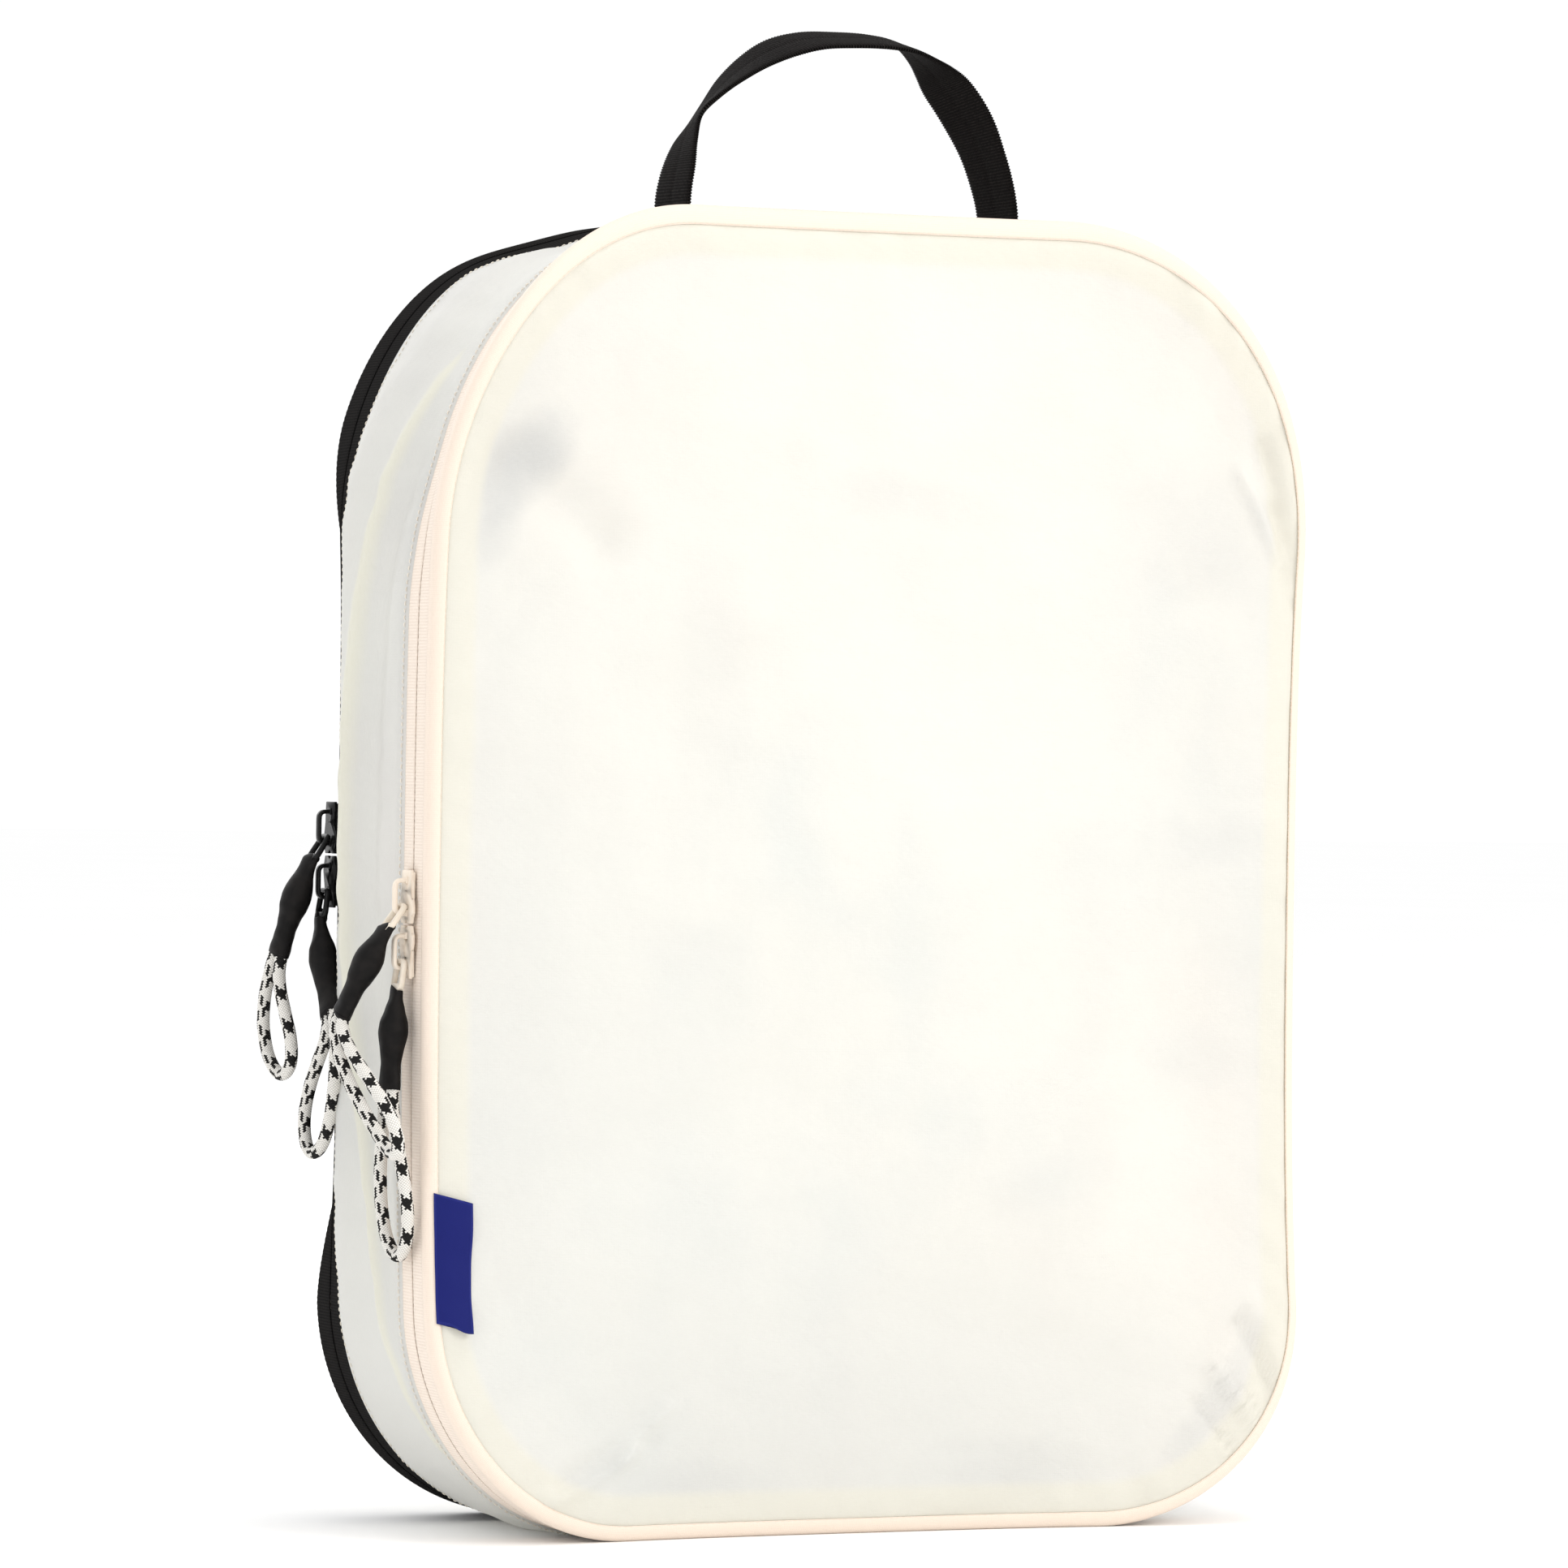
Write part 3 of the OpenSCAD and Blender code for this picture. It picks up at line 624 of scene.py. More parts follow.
# The gusset is a little thicker over its hems, and its front edge turns down onto the tape
gusset_hem = 0.2 * smooth((-17.6 - gusset_y) / 0.4) + 0.3 * smooth((gusset_y - 16.0) / 0.4) + 0.1
gusset_hem = gusset_hem - 0.4 * smooth((-22.0 - gusset_y) / 0.4)
around = np.append(FULL, ROUND)
from_fold = np.abs(gusset_y[None, :] - fold_line(at(around, LINE[:, 1]))[:, None])
from_fold = 6.6 + 1.1 * from_fold + 30 * (1 - smooth((np.abs(at(around, LINE[:, 0])) - 95) / 25))[:, None]
gusset = loft("gusset_cloth", FULL, np.stack([gusset_hem, gusset_y], 1), SHADED_GUSSET, closed=False, edge=from_fold)
on(gusset, "shell", "white_ripstop", "side_gusset")

on(stitches("gusset_stitches_front", FULL, -21.0, 0.62, PALE_THREAD), "shell", "white_ripstop")
on(stitches("gusset_stitches_rear", FULL, 17.0, 0.55, PALE_THREAD), "shell", "white_ripstop")


# How far the coil's stitches dent the tape's edge
MARK = 0.28


def body_edge(stations):
    """The body half of the front zipper's tape, with its coil's stitch marks along the edge."""
    prof = np.repeat(tape(FRONT_ZIP + TAPE_GAP, -20.5, -0.15, 0.6, 10)[None], len(stations), 0)
    prof[:, [0, -1], 1] += MARK * scallop(stations)[:, None]
    return prof


FINE_ARC = np.arange(ARC_FROM, ARC_TO, 0.63)
on(loft("front_tape_body_half", FINE_ARC, body_edge, CREAM, ring=False), "shell", "cream_tape",
   "front_tape_body")


def lid_edge(stations):
    """The lid half of the same tape."""
    prof = np.repeat(tape(-37.4, FRONT_ZIP - TAPE_GAP, -0.15, 0.6, 10)[None], len(stations), 0)
    mid = prof.shape[1] // 2
    prof[:, [mid - 1, mid], 1] -= MARK * scallop(stations)[:, None]
    return prof


on(loft("front_tape_lid_half", FINE_ARC, lid_edge, CREAM, ring=False), "lid", "cream_tape",
   "front_tape_lid")
on(loft("rear_tape_body_half", FULL, tape(19.4, REAR_ZIP - TAPE_GAP, -0.1, 0.6, 12), BLACK_TAPE), "shell",
   "black_tape", "rear_tape_body")


def fold_profile(stations, side=-1, start=36.6, radius=3.0, thick=0.5):
    """The rounded fold from the side wall to a panel's seam, as a closed strip."""
    inset = seam_in(stations)[:, None]
    a = np.radians(np.linspace(0, 96, 9))[None, :]
    deep = REAR_Y + 0.2
    flat = np.repeat(np.linspace(start, deep - radius, 4)[None, :-1], len(stations), 0)
    y_out = np.concatenate([flat, deep - radius + radius * np.sin(a) + 0 * inset], 1)
    o_out = np.concatenate([np.full((len(stations), 3), 0.12), 0.12 - inset * (1 - np.cos(a))], 1)
    turned_by = np.concatenate([[0] * 3, a[0]])[None]
    y_in = y_out - thick * np.sin(turned_by)
    o_in = o_out - thick * np.cos(turned_by)
    out = np.concatenate([o_out, o_in[:, ::-1]], 1)
    return np.stack([out, side * np.concatenate([y_out, y_in[:, ::-1]], 1)], -1)


on(loft("front_seam_fold", FULL, fold_profile, CREAM_FOLD), "lid", "cream_tape")


def rear_edge(stations):
    """The rear fold, which begins at the zipper and has small bumps along its turn."""
    prof = fold_profile(stations, 1, REAR_ZIP + TAPE_GAP)
    edge = np.exp(-((np.arange(prof.shape[1] // 2) - 7) / 2.2) ** 2)
    prof[:, :len(edge), 0] += 0.22 * edge[None] * scallop(stations, 1.6)[:, None]
    return prof


rear_fold = loft("rear_tape_back_half", np.arange(0, ROUND - 0.2, 0.4), rear_edge, BLACK_TAPE)
on(rear_fold, "back", "black_tape", "rear_tape_back")
hinge_arc = np.linspace(ARC_TO - ROUND, ARC_FROM, 120)
# The hinge cloth's outer face runs forward and turns in under the lid's fold, and its inner face comes back
hinge_profile = [(-0.1, y) for y in np.linspace(-21.0, -37.2, 10)]
hinge_profile += [(-0.25, -38.2), (-0.75, -39.3), (-1.7, -40.2), (-2.0, -39.8), (-1.15, -39.0), (-0.75, -38.0)]
hinge_profile += [(-0.6, y) for y in np.linspace(-37.0, -21.0, 10)]
hinge = loft("hinge_cloth", hinge_arc, hinge_profile, WHITE, ring=False)
on(hinge, "shell", "white_ripstop", "lid_hinge_strip")


def in_seam(s):
    return -seam_in(s) - 0.05


on(stitches("front_seam_stitches", FULL, FRONT_Y, in_seam, TAN_THREAD, radius=0.2), "lid", "cream_tape")
on(stitches("rear_seam_stitches", FULL, REAR_Y, in_seam, BLACK_THREAD, radius=0.2), "back", "black_tape")

# ---- bindings, coils and zipper ends


def binding(name, y0, y1, material, body, slot, node):
    """A folded strip of cloth sewn over the raw edges inside a seam."""
    a = np.linspace(0, 2 * math.pi, 20, endpoint=False)
    c, d = np.cos(a), np.sin(a)
    out = -2.55 + 1.6 * np.sign(c) * np.abs(c) ** 0.5
    y = (y0 + y1) / 2 + (y1 - y0) / 2 * np.sign(d) * np.abs(d) ** 0.5

    def profile(stations):
        sway = 0.12 * waves(stations, int(y0) + 60, 14, 50)[:, None]
        return np.stack(np.broadcast_arrays(out[None] + sway, y[None] + 0 * sway), -1)

    on(loft(name, FULL, profile, material), body, slot, node)


binding("front_hem_binding", -21.6, -17.6, WHITE, "shell", "white_ripstop", "front_gusset_binding")
binding("rear_hem_binding", 16.6, 19.6, WHITE, "shell", "white_ripstop", "rear_gusset_binding")
binding("lid_seam_binding", -39.6, -37.4, CREAM_FOLD, "lid", "cream_tape", "lid_binding")
binding("back_seam_binding", 37.4, 39.6, BLACK_TAPE, "back", "black_tape", "back_binding")


# Three stations to each turn of a coil
COIL_STEP = 0.42
COIL_PITCH = 3 * COIL_STEP


def coil(name, first, last, y, material, body, slot, node, ring=False):
    """One side of a zipper's coil, sewn to the inside of its tape."""
    stations = np.arange(first, last, COIL_STEP)
    if ring:
        stations = first + (last - first) * np.arange(len(stations)) / len(stations)
    turn = 2 * math.pi * stations / ((last - first) / round((last - first) / COIL_PITCH))
    a = np.linspace(0, 2 * math.pi, 7, endpoint=False)
    size = 1 + 0.24 * np.sin(turn[:, None] - a[None, :])
    prof = np.stack([-1.25 + 0.52 * size * np.cos(a)[None], y + 0.62 * size * np.sin(a)[None]], -1)
    on(loft(name, stations, lambda s: prof, material, ring=ring), body, slot, node)


FRONT_COILS, REAR_COILS = ((y - COIL_OFF, y + COIL_OFF) for y in (FRONT_ZIP, REAR_ZIP))
coil("front_coil_shell_side", ZIP_FROM, ZIP_TO, FRONT_COILS[1], CREAM_COIL, "shell", "cream_coil",
     "front_coil_body")
coil("front_coil_lid_side", ZIP_FROM, ZIP_TO, FRONT_COILS[0], CREAM_COIL, "lid", "cream_coil", "front_coil_lid")
coil("rear_coil_shell_side", 0, ROUND, REAR_COILS[0], BLACK_COIL, "shell", "black_coil", "rear_coil_body", True)
coil("rear_coil_back_side", 0, ROUND, REAR_COILS[1], BLACK_COIL, "back", "black_coil", "rear_coil_back", True)


def zipper_end(first, last, y0, y1, material):
    """A cloth tab sewn over the end of a zipper, with turned-in edges."""
    stations = np.linspace(first, last, 60)
    ends = np.minimum(stations - first, last - stations)[:, None]
    prof = np.repeat(tape(y0, y1, 0.62, 0.55, 10, 0.3)[None], len(stations), 0)
    prof[..., 0] -= 0.45 * np.exp(-ends / 0.5)
    prof[..., 0] += 0.12 * np.sin(stations * 1.1)[:, None]
    return loft("zipper_end", stations, lambda s: prof, material, ring=False)


def on_right(share, high):
    """A station on a right corner curve, at a share of the corner's height."""
    return station(1, HIGH - TOP_RZ + TOP_RZ * share if high else LOW_RZ - LOW_RZ * share)


tabs = [zipper_end(on_right(a, high), on_right(b, high), -28.5, -20.4, CREAM)
        for a, b, high in ((0.61, 0.86, True), (0.79, 0.5, False))]
on(join("front_zipper_ends", tabs), "shell", "cream_tape", "front_zipper_stops")
on(join("rear_zipper_end", [zipper_end(6, 30, 20.5, 29.2, BLACK_TAPE)]), "shell", "black_tape",
   "rear_zipper_stop")

PLEATS = 3
pleat_share = np.linspace(0, 1, 61)
pleat_y = 20.6 + 17.4 * pleat_share
pleat_out = -5.0 - 2.6 * np.cos(pleat_share * 2 * math.pi * PLEATS)


def pleats(stations):
    sway = 0.35 * waves(stations, 71, 20, 70)[:, None] + 0.15 * waves(stations, 72, 6, 15)[:, None]
    out = pleat_out[None] + sway * np.sin(math.pi * pleat_share)
    return np.stack(np.broadcast_arrays(out, pleat_y[None]), -1)


expansion = loft("expansion_cloth", FULL, pleats, WHITE, closed=False)
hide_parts("expansion_gusset")
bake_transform(expansion)

# ---- big panels

# Creases on the front panel: from x, z to x, z, half width, height
CREASES = [
    (114, 300, 127, 264, 3.0, -1.3), (108, 292, 122, 268, 2.2, 1.0), (118, 282, 126, 256, 2.0, -0.8),
    (112, 56, 125, 30, 3.0, -1.3), (104, 44, 119, 24, 2.2, 1.0), (98, 34, 110, 18, 2.0, -0.7),
    (-96, 10, -70, 24, 2.5, 1.2), (-74, 22, -60, 36, 2.2, 0.9), (-90, 16, -66, 28, 3.5, -0.8),
    (-108, 290, -84, 270, 8.0, -2.4), (-98, 264, -114, 240, 6.0, -0.9),
    (92, 250, 88, 120, 16.0, -1.3), (-40, 235, -74, 222, 10.0, -0.8),
    (-30, 120, -88, 96, 14.0, -0.9), (20, 60, 66, 44, 10.0, -0.7),
]


def crease_height(x, z):
    """The sum of the creases, each a rounded ridge or groove along its line."""
    total = 0.0
    for x0, z0, x1, z1, wide, high in CREASES:
        dx, dz = x1 - x0, z1 - z0
        t = np.clip(((x - x0) * dx + (z - z0) * dz) / (dx * dx + dz * dz), 0, 1)
        away = np.hypot(x - x0 - t * dx, z - z0 - t * dz)
        total = total + high * np.exp(-(away / wide) ** 2)
    return total


def panel_lift(x, z, d, s, side, seed):
    """How far a big panel stands out from the middle of the cube. d is the distance in from its seam."""
    near = 1 - (1 - np.clip(d / 70, 0, 1)) ** 3.5
    far = smooth((75 - d) / 40)
    q = np.abs(x / 127) ** 2.3 + np.abs((z - MID_Z) / 177) ** 2.6
    bend = 0.45 + 0.55 * smooth((np.abs(x) - 60) / 50) * smooth((np.abs(z - MID_Z) - 80) / 70)
    lift = 40.5 + 1.3 * (1 - np.exp(-d / 2.2)) + 8.0 * np.clip(1 - q, 0, 1) * near
    lift = lift + 1.0 * ripples(x, z, seed, 45, 120) * near
    lift = lift + 0.2 * ripples(x, z, seed + 1, 14, 34) * near
    pucker = waves(s, seed + 2, 8, 22) * np.exp(-d / 9) + 0.7 * waves(s, seed + 3, 24, 60) * np.exp(-d / 22)
    lift = lift + 0.9 * bend * pucker * far * (1 - np.exp(-d / 2))
    lift = lift - 0.14 * smooth((d - 8.0) / 1.2)
    if side < 0:
        lift = lift + 1.9 * crease_height(x, z) * (1 - np.exp(-d / 3))
    return lift


def panel(name, side, seed, body, node):
    """A big panel: a disc of n by m squares, stretched to the outline and raised by panel_lift."""
    n, m = 150, 200
    u, v = np.meshgrid(np.linspace(-1, 1, n), np.linspace(-1, 1, m), indexing="ij")
    dx, dz = u * np.sqrt(1 - v * v / 2), v * np.sqrt(1 - u * u / 2)
    r, angle = np.hypot(dx, dz), np.degrees(np.arctan2(dz, dx)) % 360
    s = np.interp(angle, [-45, 45, 135, 225, 315, 405],
                  [ZIP_TO - ROUND, ZIP_FROM, TOP_LEFT, LOW_LEFT, ZIP_TO, ZIP_FROM + ROUND])
    inset = seam_in(s) - 0.2
    if side > 0:
        inset = inset - bulge(s, REAR_Y, at(s, LINE[:, 0]), at(s, LINE[:, 1]))
    ex = at(s, LINE[:, 0]) - at(s, NORMAL[:, 0]) * inset
    ez = at(s, LINE[:, 1]) - at(s, NORMAL[:, 1]) * inset
    x, z = ex * r, MID_Z + (ez - MID_Z) * r
    d = (1 - r) * (ex * at(s, NORMAL[:, 0]) + (ez - MID_Z) * at(s, NORMAL[:, 1]))
    y = side * panel_lift(x, z, d, s, side, seed) + corner_shift(x, z, 0.0 if side < 0 else 1.0)
    z = z - top_drop(x, side * REAR_Y, z)
    coord = np.stack([x, z, d], -1)
    o = grid(name, np.stack([x, y, z], -1), WHITE, coord=coord)
    on(o, body, "white_ripstop", node)


FRONT_SEED, BACK_SEED = 20, 40
panel("front_panel_cloth", -1, FRONT_SEED, "lid", "front_panel")
panel("back_panel_cloth", 1, BACK_SEED, "back", "back_panel")

# ---- labels


def tag(name, corner, across, down, thick, material, body, slot, node, flat):
    """A small woven label: a thin strip with two faces. corner gives a point for shares across and down."""
    u = np.linspace(0, 1, across)
    v = np.linspace(0, 1, down)
    face = corner(u[None, :], v[:, None])
    rim = np.sin(math.pi * np.clip(u, 0.02, 0.98)) ** 0.3 * thick / 2
    front = face - np.array([0, 1.0, 0]) * rim[None, :, None]
    rear = face + np.array([0, 1.0, 0]) * rim[None, :, None]
    points = np.concatenate([front, rear[:, ::-1]], 1)
    wide, tall = flat[0] / MM, flat[1] / MM
    near = np.minimum(np.minimum(u, 1 - u)[None, :] * wide, np.minimum(v, 1 - v)[:, None] * tall)
    coord = np.stack(np.broadcast_arrays(u[None, :] * wide, v[:, None] * tall, near), -1)
    coord = np.concatenate([coord, coord[:, ::-1], coord[:, :1]], 1)
    o = grid(name, points, material, close_v=True, coord=coord, cap=True)
    on(o, body, slot, node)


def side_label_at(u, v):
    """The side label hangs just off the front panel, and lifts along its free edge."""
    x = -128.2 + 10.4 * u + 0.25 * np.sin(5.5 * v + 1) * u
    z = 94.5 - 34.5 * v - 2.8 * u + 0.5 * np.sin(6 * u) * v
    d = x + 127.5
    lift = panel_lift(x, z, np.maximum(d, 0.3), station(-1, 75) + (75 - z), -1, FRONT_SEED)
    off = 0.7 + 0.5 * u * (0.6 + 0.5 * np.sin(7.5 * v + 0.8)) + 0.25 * np.sin(math.pi * u)
    return np.stack(np.broadcast_arrays(x, -lift - off + corner_shift(x, z, 0.0), z), -1)


def care_label_at(u, v):
    """The care label stands inside the lid, behind the front panel."""
    x, z = 19.0 + 22.0 * u, 6.0 + 14.0 * v
    y = -38.9 + 0.5 * np.sin(4 * u + 3 * v) * v
    return np.stack(np.broadcast_arrays(x, y, z), -1)


tag("side_label_tag", side_label_at, 14, 40, 0.4, NAVY, "lid", "navy_label", "side_label", (0.0104, 0.036))
tag("care_label_tag", care_label_at, 22, 14, 0.25, SATIN, "lid", "white_satin", "care_label", (0.022, 0.014))

# ---- handle

# Stations of the webbing's middle: x, z, and the tilt of its width from lying straight back
HANDLE = np.array([
    (-49, 355, 5), (-49, 361, 5), (-48.6, 366, 5), (-47.4, 372, 3), (-45.6, 379, -4), (-42.6, 385.5, -14),
    (-38, 391, -9), (-32, 397, 1), (-25, 402.3, 9), (-17, 406.5, 15), (-8, 408.9, 15.5), (2, 409.6, 15),
    (12, 409.6, 14), (20, 408.4, 12), (26, 404.8, 3), (31.5, 399.5, -12), (37, 393, -17), (41.5, 386, -14),
    (45, 378.5, -11), (47.6, 371, -9), (49, 365, -8), (49.4, 360, -8), (49.4, 355, -8)], float)
HANDLE_Y, WEB_W, WEB_T = -9.0, 20.0, 1.6


def spline(points, step):
    """A smooth curve through the points, with stations about step apart."""
    p = np.concatenate([2 * points[:1] - points[1:2], points, 2 * points[-1:] - points[-2:-1]])
    pieces = []
    for k in range(1, len(p) - 2):
        t = np.linspace(0, 1, 24, endpoint=False)[:, None]
        a, b, c, d = p[k - 1], p[k], p[k + 1], p[k + 2]
        pieces.append(0.5 * (2 * b + (c - a) * t + (2 * a - 5 * b + 4 * c - d) * t ** 2
                             + (3 * b - a - 3 * c + d) * t ** 3))
    curve = np.concatenate(pieces + [points[-1:]])
    along = np.concatenate([[0], np.cumsum(np.linalg.norm(np.diff(curve, axis=0), axis=1))])
    count = max(4, int(round(along[-1] / step)))
    s = np.linspace(0, along[-1], count + 1)
    return np.stack([np.interp(s, along, curve[:, k]) for k in range(curve.shape[1])], 1), s


def handle_webbing():
    """The webbing, swept along HANDLE, with ribs across it and a groove down its middle."""
    line, s = spline(HANDLE, RIB / 4)
    tangent = unit(np.gradient(line[:, :2], axis=0))
    outward = np.stack([-tangent[:, 1], 0 * s, tangent[:, 0]], 1)
    tilt = np.radians(line[:, 2])[:, None]
    across = np.cos(tilt) * np.array([0, 1.0, 0]) + np.sin(tilt) * outward
    face = np.cross(np.stack([tangent[:, 0], 0 * s, tangent[:, 1]], 1), across)
    rib = np.abs(np.sin(math.pi * s / RIB))[:, None]
    w = np.concatenate([np.linspace(-1, 1, 15), np.linspace(1, -1, 15)])[None, :]
    sign = np.repeat([1.0, -1.0], 15)[None, :]
    groove = 0.22 * np.exp(-(w / 0.07) ** 2)
    thick = WEB_T / 2 * (1 - 0.45 * np.abs(w) ** 9) - groove - 0.17 * (1 - rib)
    half = WEB_W / 2 - 0.4 * (1 - rib) + 0.12 * ripples(s, 0 * s, 7, 6, 20)[:, None]
    centre = np.stack([line[:, 0], HANDLE_Y + 0 * s, line[:, 1]], 1)
    points = centre[:, None] + across[:, None] * (w * half)[..., None]
    points = points + face[:, None] * (sign * thick)[..., None]
    coord = np.stack(np.broadcast_arrays(s[:, None], np.append(w * 10, -10)[None, :], 0.0), -1)
    return grid("handle_webbing", points, WEBBING, close_v=True, coord=coord, cap=True)


handle = handle_webbing()
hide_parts("carry_handle", "handle_anchors")
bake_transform(handle)

# ---- sliders, pulls and cords

# Zipper depth, slider middle, nose down (1) or up (-1), link tilt, sleeve end, loop end, loop turn.
# The ends are out, back and up from the slider's middle.
PULLS = {
    "front_upper": (FRONT_ZIP, 172.9, 1, 36, (16.5, 8, -30.5), (11, -19, -67), 0),
    "front_lower": (FRONT_ZIP, 158.1, -1, 8, (7, -2, -36), (4, -2, -81), 8),
    "rear_upper": (REAR_ZIP, 190.4, 1, 33, (14.5, 5, -34), (12, 10, -68), 10),
    "rear_lower": (REAR_ZIP, 175.6, -1, 8, (6.5, -14, -35), (7, -1, -74), 6),
}
# How far a loop runs straight on from its sleeve, its length, and the cord's thickness
LOOP_LEAD, LOOP_L, CORD_D = 12.0, 43, 3.6
# Where a link hangs: out and down from the slider's middle. Then its length.
PIN_OUT, PIN_DROP, LINK_L = 3.4, 2.5, 9.0


def mirrored(half, middle, flip):
    """A line out along half, through its middle point and back along the mirror image of half."""
    return np.array(half + [middle] + [(a * flip[0], b * flip[1]) for a, b in half[::-1]], float)


# One loop laid flat: distance from its sleeve, and distance to the side of its middle
LOOP = mirrored([(0, 1.95), (3, 2), (7, 2.4), (13, 3.8), (20, 5.6), (27, 6.9), (33, 7), (38, 5.8),
                 (41.6, 3.2)], (LOOP_L, 0), (1, -1))
# A slider's bail seen from the side, and a link's ring seen flat
BAIL = mirrored([(-4.35, 1.7), (-4.35, 3.4), (-4.2, 4.5), (-3.5, 5.2), (-2.4, 5.4)], (0, 5.42), (-1, 1))
RING = mirrored([(0, 0), (1.5, 0), (2.2, -0.45), (2.45, -1.5), (2.75, -4.0), (2.75, -6.2), (2.0, -7.0)],
                (0, -7.2), (-1, 1))
PLATE = [(-3.3, -7.1), (3.3, -7.1), (3.45, -4.5), (3.35, -1.5), (4.1, 0.6), (4.8, 2.6), (4.8, 4.4), (3.9, 5.2),
         (3.6, 7.1), (1.1, 7.1), (0, 5.7), (-1.1, 7.1), (-3.6, 7.1), (-3.9, 5.2), (-4.8, 4.4), (-4.8, 2.6),
         (-4.1, 0.6), (-3.35, -1.5), (-3.45, -4.5)]
# A sleeve's half width and half height at shares of its length
SLEEVE_SIZES = np.array([
    (0.0, 3.1, 1.45), (0.12, 3.15, 1.6), (0.22, 3.5, 2.6), (0.32, 4.15, 3.6), (0.42, 4.35, 3.9),
    (0.52, 4.0, 3.6), (0.62, 3.3, 3.0), (0.73, 3.1, 2.5), (0.84, 3.75, 2.35), (0.93, 4.1, 2.4),
    (1.0, 4.1, 2.35)])


def in_plane(table):
    """Puts a flat table of y and z into three dimensions, at x = 0."""
    return np.pad(table, ((0, 0), (1, 0)))


def square_to(v, t):
    """The part of v that is square to each row of t, at length 1."""
    return unit(v - t * (v * t).sum(-1, keepdims=True))


def frames(line, first):
    """Tangents, and sideways and upward vectors that turn as little as they can, along a curve."""
    t = unit(np.gradient(line, axis=0))
    side = [square_to(first, t[0])]
    for tangent in t[1:]:
        side.append(square_to(side[-1], tangent))
    return t, np.array(side), np.cross(t, side)


def tube(name, line, side, over, wide, high, material, sides, power, close=False):
    """A tube whose section is wide by high, which may change along it, and is squarer at a higher power."""
    a = np.linspace(0, 2 * math.pi, sides, endpoint=False)
    c, d = (np.sign(v) * np.abs(v) ** (2 / power) for v in (np.cos(a), np.sin(a)))
    wide, high = (np.broadcast_to(v, (len(line),))[:, None, None] for v in (wide, high))
    points = line[:, None] + side[:, None] * c[None, :, None] * wide + over[:, None] * d[None, :, None] * high
    return grid(name, points, material, close, True, cap=not close)


def prism(name, outline, low, high, material, soft):
    """A flat plate with rounded edges, between two heights."""
    bm = bmesh.new()
    bottom = [bm.verts.new((a * MM, b * MM, low * MM)) for a, b in outline]
    top = [bm.verts.new((a * MM, b * MM, high * MM)) for a, b in outline]
    n = len(outline)
    bm.faces.new(bottom[::-1])
    bm.faces.new(top)
    for k in range(n):
        bm.faces.new((bottom[k], bottom[(k + 1) % n], top[(k + 1) % n], top[k]))
    bmesh.ops.bevel(bm, geom=bm.edges[:], offset=soft * MM, segments=3, profile=0.6, affect="EDGES",
                    clamp_overlap=True)
    mesh = bpy.data.meshes.new(name)
    bm.to_mesh(mesh)
    bm.free()
    return add(name, mesh, material)


def placed(o, axes, origin):
    """Puts an object's own x, y and z along the given axes, from an origin in millimetres."""
    m = Matrix([list(v) for v in np.array(axes, float).T]).to_4x4()
    o.data.transform(Matrix.Translation(Vector(np.array(origin, float) * MM)) @ m)
    o.data.update()
    return o


def slider(key):
    """Local x is across the zipper, y up from the tail to the nose, and z outwards."""
    y, z, down = PULLS[key][:3]
    zipper, end = key.split("_")
    mat = CREAM_METAL if zipper == "front" else BLACK_METAL
    parts = [prism("plate", PLATE, 1.35, 2.2, mat, 0.22), prism("plate", PLATE, -2.2, -1.35, mat, 0.22)]
    for side in (-1, 1):
        lip = [(side * 2.5, -6.6), (side * 3.3, -6.6), (side * 3.3, 0.2), (side * 2.5, 0.2)][::side]
        parts += [prism("lip", lip, 0.9, 1.6, mat, 0.12), prism("lip", lip, -1.6, -0.9, mat, 0.12)]
    parts.append(prism("post", [(-0.5, 3.2), (0, 1.7), (0.5, 3.2), (0, 5.2)], -1.5, 1.5, mat, 0.08))
    curve, _ = spline(in_plane(BAIL), 0.35)
    _, side, over = frames(curve, np.array([1.0, 0, 0]))
    parts.append(tube("bail", curve, side, over, 1.1, 0.6, mat, 20, 3.2))
    for low, high in ((-5.3, -3.5), (3.5, 5.3)):
        parts.append(prism("foot", [(-1.3, low), (1.3, low), (1.3, high), (-1.3, high)], 1.9, 2.7, mat, 0.2))
    o = join(key + "_slider", parts)
    placed(o, [(0, 1.0 * down, 0), (0, 0, -1.0 * down), (-1.0, 0, 0)], (SIDE_X, y, z))
    on(o, f"{zipper}_slider_{end}_body", "cream_enamel" if zipper == "front" else "black_enamel",
       f"{zipper}_slider_{end}")


def link(key, body, pin, lean, way):
    """The moulded link: a ring through the slider's bail, and the neck that the sleeve grips."""
    zipper, end = key.split("_")
    mat, slot = (CREAM_PLASTIC, "cream_plastic") if zipper == "front" else (BLACK_PLASTIC, "black_plastic")
    curve, _ = spline(in_plane(RING), 0.3)
    _, side, over = frames(curve, np.array([1.0, 0, 0]))
    bow = tube("ring", curve[:-1], side[:-1], over[:-1], 0.78, 0.72, mat, 16, 2.6, close=True)
    block = prism("neck", [(-2.3, -9.3), (2.3, -9.3), (2.6, -7.6), (3.0, -7.0), (2.5, -5.9), (-2.5, -5.9),
                           (-3.0, -7.0), (-2.6, -7.6)], -0.85, 0.85, mat, 0.35)
    placed(block, [(0, 1, 0), (0, 0, 1), (1, 0, 0)], (0, 0, 0))
    o = join(f"{key}_link", [bow, block])
    placed(o, [(math.cos(lean), 0, -math.sin(lean)), (0, 1, 0), -way], pin)
    on(o, body, slot, f"{zipper}_link_{end}")


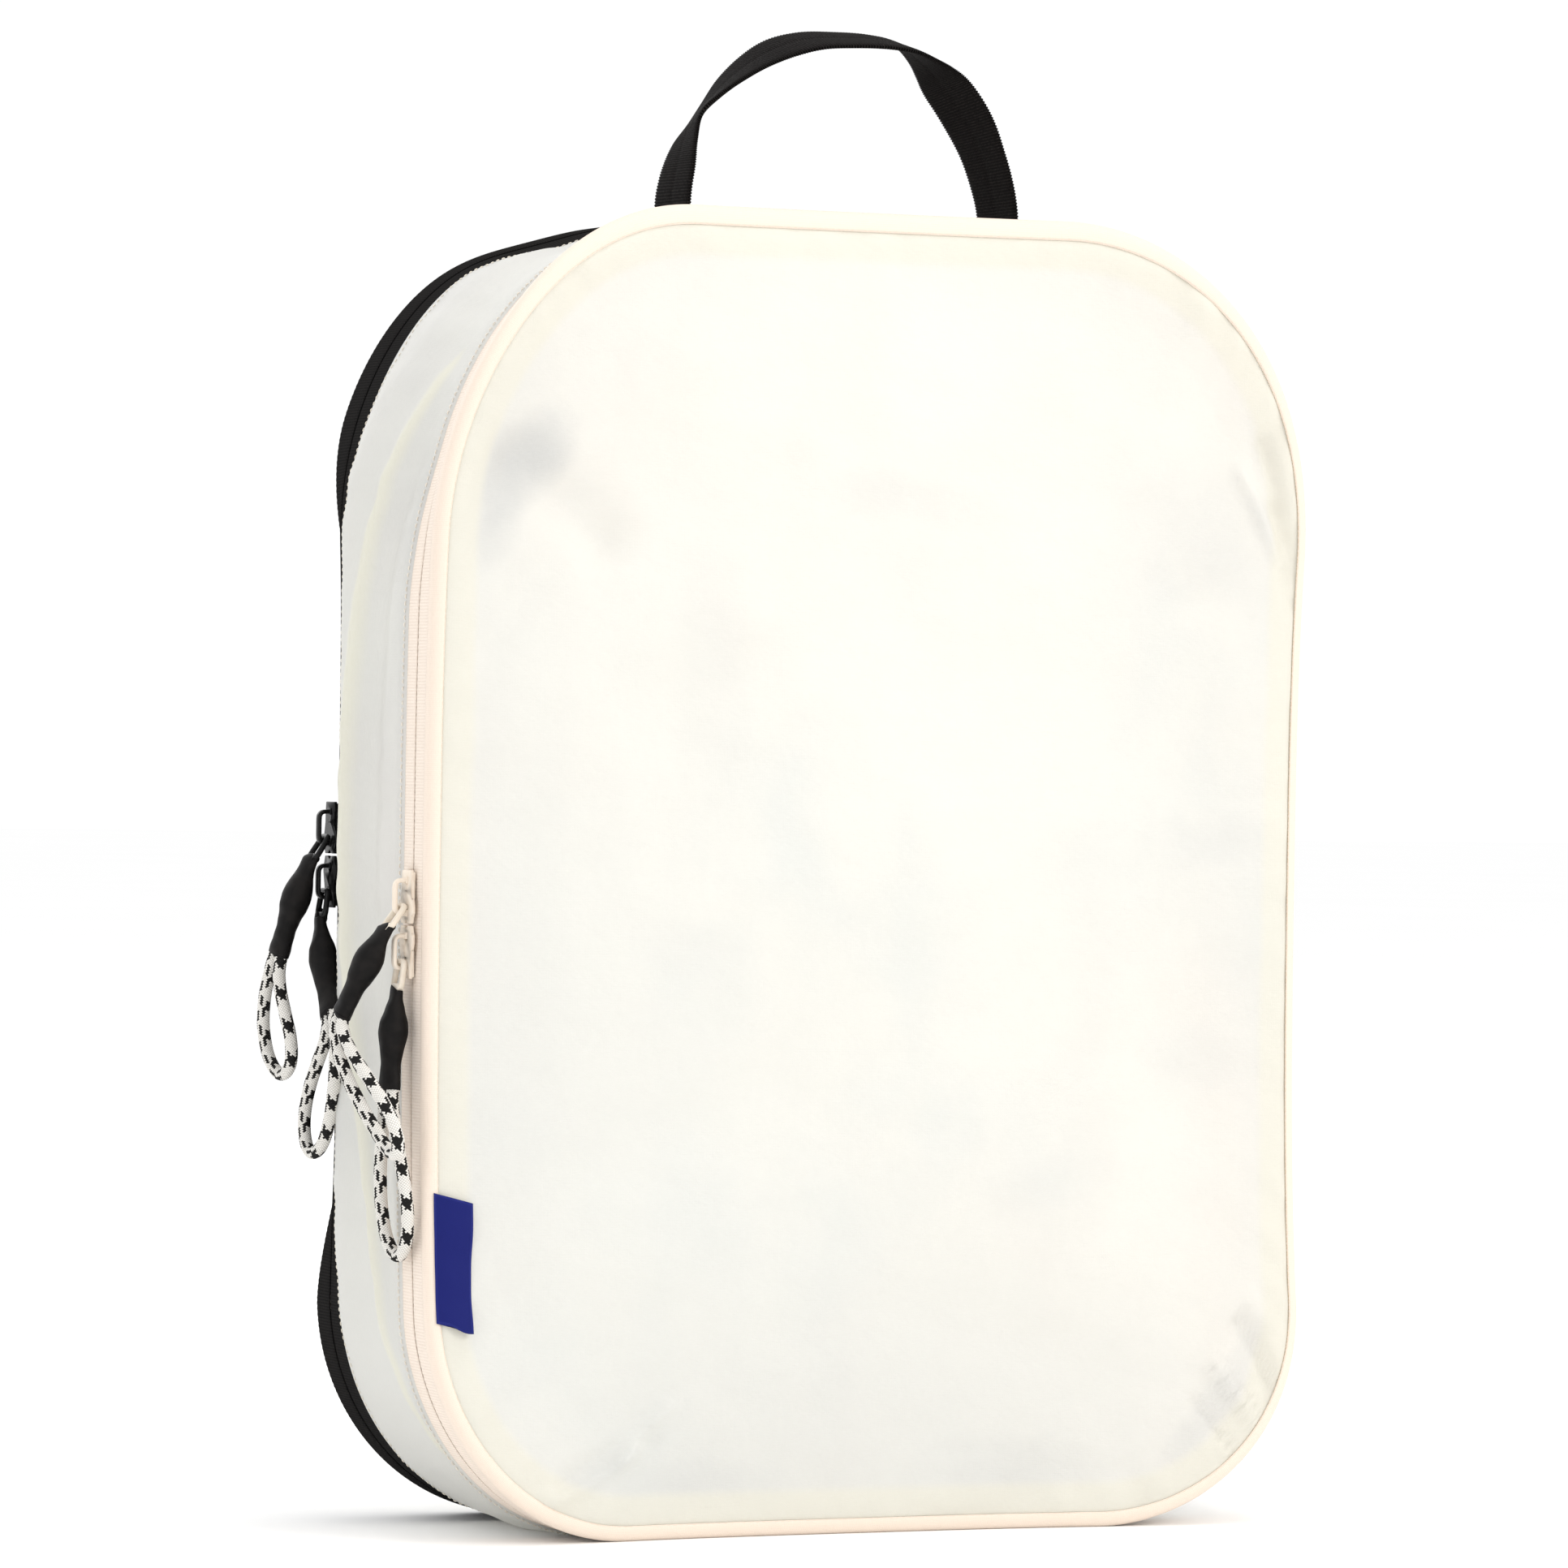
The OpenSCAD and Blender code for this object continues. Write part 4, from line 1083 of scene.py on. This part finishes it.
def sleeve(key, body, neck, way, finish_at, flat):
    """The heat-shrunk sleeve, from the link's neck to the loop, which it turns to match."""
    zipper, end = key.split("_")
    straight = unit(finish_at - neck)
    knee = (neck + finish_at) / 2 + way * np.linalg.norm(finish_at - neck) * 0.05
    curve, s = spline(np.array([neck - way * 1.8, neck, knee, finish_at, finish_at + straight * 0.6]), 0.35)
    share = s / s[-1]
    t, side, _ = frames(curve, np.array([0, 1.0, 0]))
    spin = smooth((share - 0.35) / 0.5)[:, None]
    flat_there = square_to(flat, t)
    flat_there *= np.sign((flat_there * side).sum(1))[:, None]
    side = unit(side * (1 - spin) + flat_there * spin)
    kernel = np.hanning(9) / np.hanning(9).sum()
    wide, high = (np.interp(share, SLEEVE_SIZES[:, 0], SLEEVE_SIZES[:, k]) for k in (1, 2))
    wide, high = (np.convolve(np.pad(v, 4, mode="edge"), kernel, "valid") for v in (wide, high))
    lumps = 0.10 * ripples(s, 0 * s, len(key) + PULLS[key][2], 3, 9, 5)
    o = tube(f"{key}_sleeve", curve, side, np.cross(t, side), wide + lumps, high - lumps, SLEEVE, 36, 2.2)
    on(o, body, "black_shrink_sleeve", f"{zipper}_sleeve_{end}")


def cord_route(begin, straight, loop_end, ref):
    """The loop's middle line: LOOP bent along a Bezier curve that leaves the sleeve straight."""
    a, b, c, d = begin, begin + straight * LOOP_LEAD, loop_end + (begin - loop_end) / 3, loop_end
    u = LOOP[:, :1] / LOOP_L
    mid = a * (1 - u) ** 3 + 3 * b * u * (1 - u) ** 2 + 3 * c * u * u * (1 - u) + d * u ** 3
    heads = unit((b - a) * (1 - u) ** 2 + (c - b) * 2 * u * (1 - u) + (d - c) * u * u)
    route = mid + square_to(ref, heads) * LOOP[:, 1:]
    return np.concatenate([route[:1] - straight * 1.2, route, route[-1:] - straight * 1.2])


def braided(name, route, first):
    """A cord along a route, with its strands raised. Also gives its middle line and the distances along it."""
    curve, s = spline(route, STRAND / 3)
    _, side, over = frames(curve, first)
    around = np.linspace(0, STRANDS, 4 * STRANDS + 1)
    ups = s / STRAND
    one, other = around[None, :-1] + ups[:, None], around[None, :-1] - ups[:, None]
    pillow = np.abs(np.sin(math.pi * one)) * np.abs(np.sin(math.pi * other))
    radius = CORD_D / 2 - 0.05 + 0.12 * (pillow - 0.5)
    a = around[None, :-1] * 2 * math.pi / STRANDS
    points = curve[:, None] + side[:, None] * (np.cos(a) * radius)[..., None] \
        + over[:, None] * (np.sin(a) * radius)[..., None]
    coord = np.stack(np.broadcast_arrays(around[None, :], ups[:, None], 0.0), -1)
    return grid(name, points, CORD, close_v=True, coord=coord, cap=True), curve, s


def pull(key):
    """One zipper pull: its link, its sleeve and its loop of cord."""
    y, z, _, link_tilt, sleeve_to, loop_to, turn = PULLS[key]
    zipper, end = key.split("_")
    body = f"{zipper}_pull_{end}"

    def spot(out, back_by, up_by):
        return np.array([SIDE_X - out, y + back_by, z + up_by], float)

    lean = math.radians(link_tilt)
    way = np.array([-math.sin(lean), 0, -math.cos(lean)])
    pin = spot(PIN_OUT, 0, -PIN_DROP)
    neck, finish_at = pin + way * LINK_L, spot(*sleeve_to)
    straight = unit(finish_at - neck)
    ref = np.array([-math.sin(math.radians(turn)), math.cos(math.radians(turn)), 0])
    flat = square_to(ref, straight)
    link(key, body, pin, lean, way)
    sleeve(key, body, neck, way, finish_at, flat)

    route = cord_route(finish_at + straight * 0.15, straight, spot(*loop_to), ref)
    cord, curve, s = braided(f"{key}_cord", route, np.cross(straight, flat))
    on(cord, body, "braided_cord", f"{zipper}_cord_{end}")


for key in PULLS:
    slider(key)
    pull(key)

# ---- floor

floor_mat = Paint("floor", 0.85)
tone = floor_mat.noise(floor_mat.metres(), 3.0, 2.0)
floor_paint = floor_mat.done(floor_mat.mix(tone, grey(0.965), grey(0.985)), Specular_IOR_Level=0.0)
floor_x, floor_y = np.linspace(-9, 9, 6), np.linspace(-6, 14, 6)
floor_points = np.stack(np.broadcast_arrays(floor_x[:, None], floor_y[None], 0.0), -1)
floor = grid("floor", floor_points / MM, floor_paint)
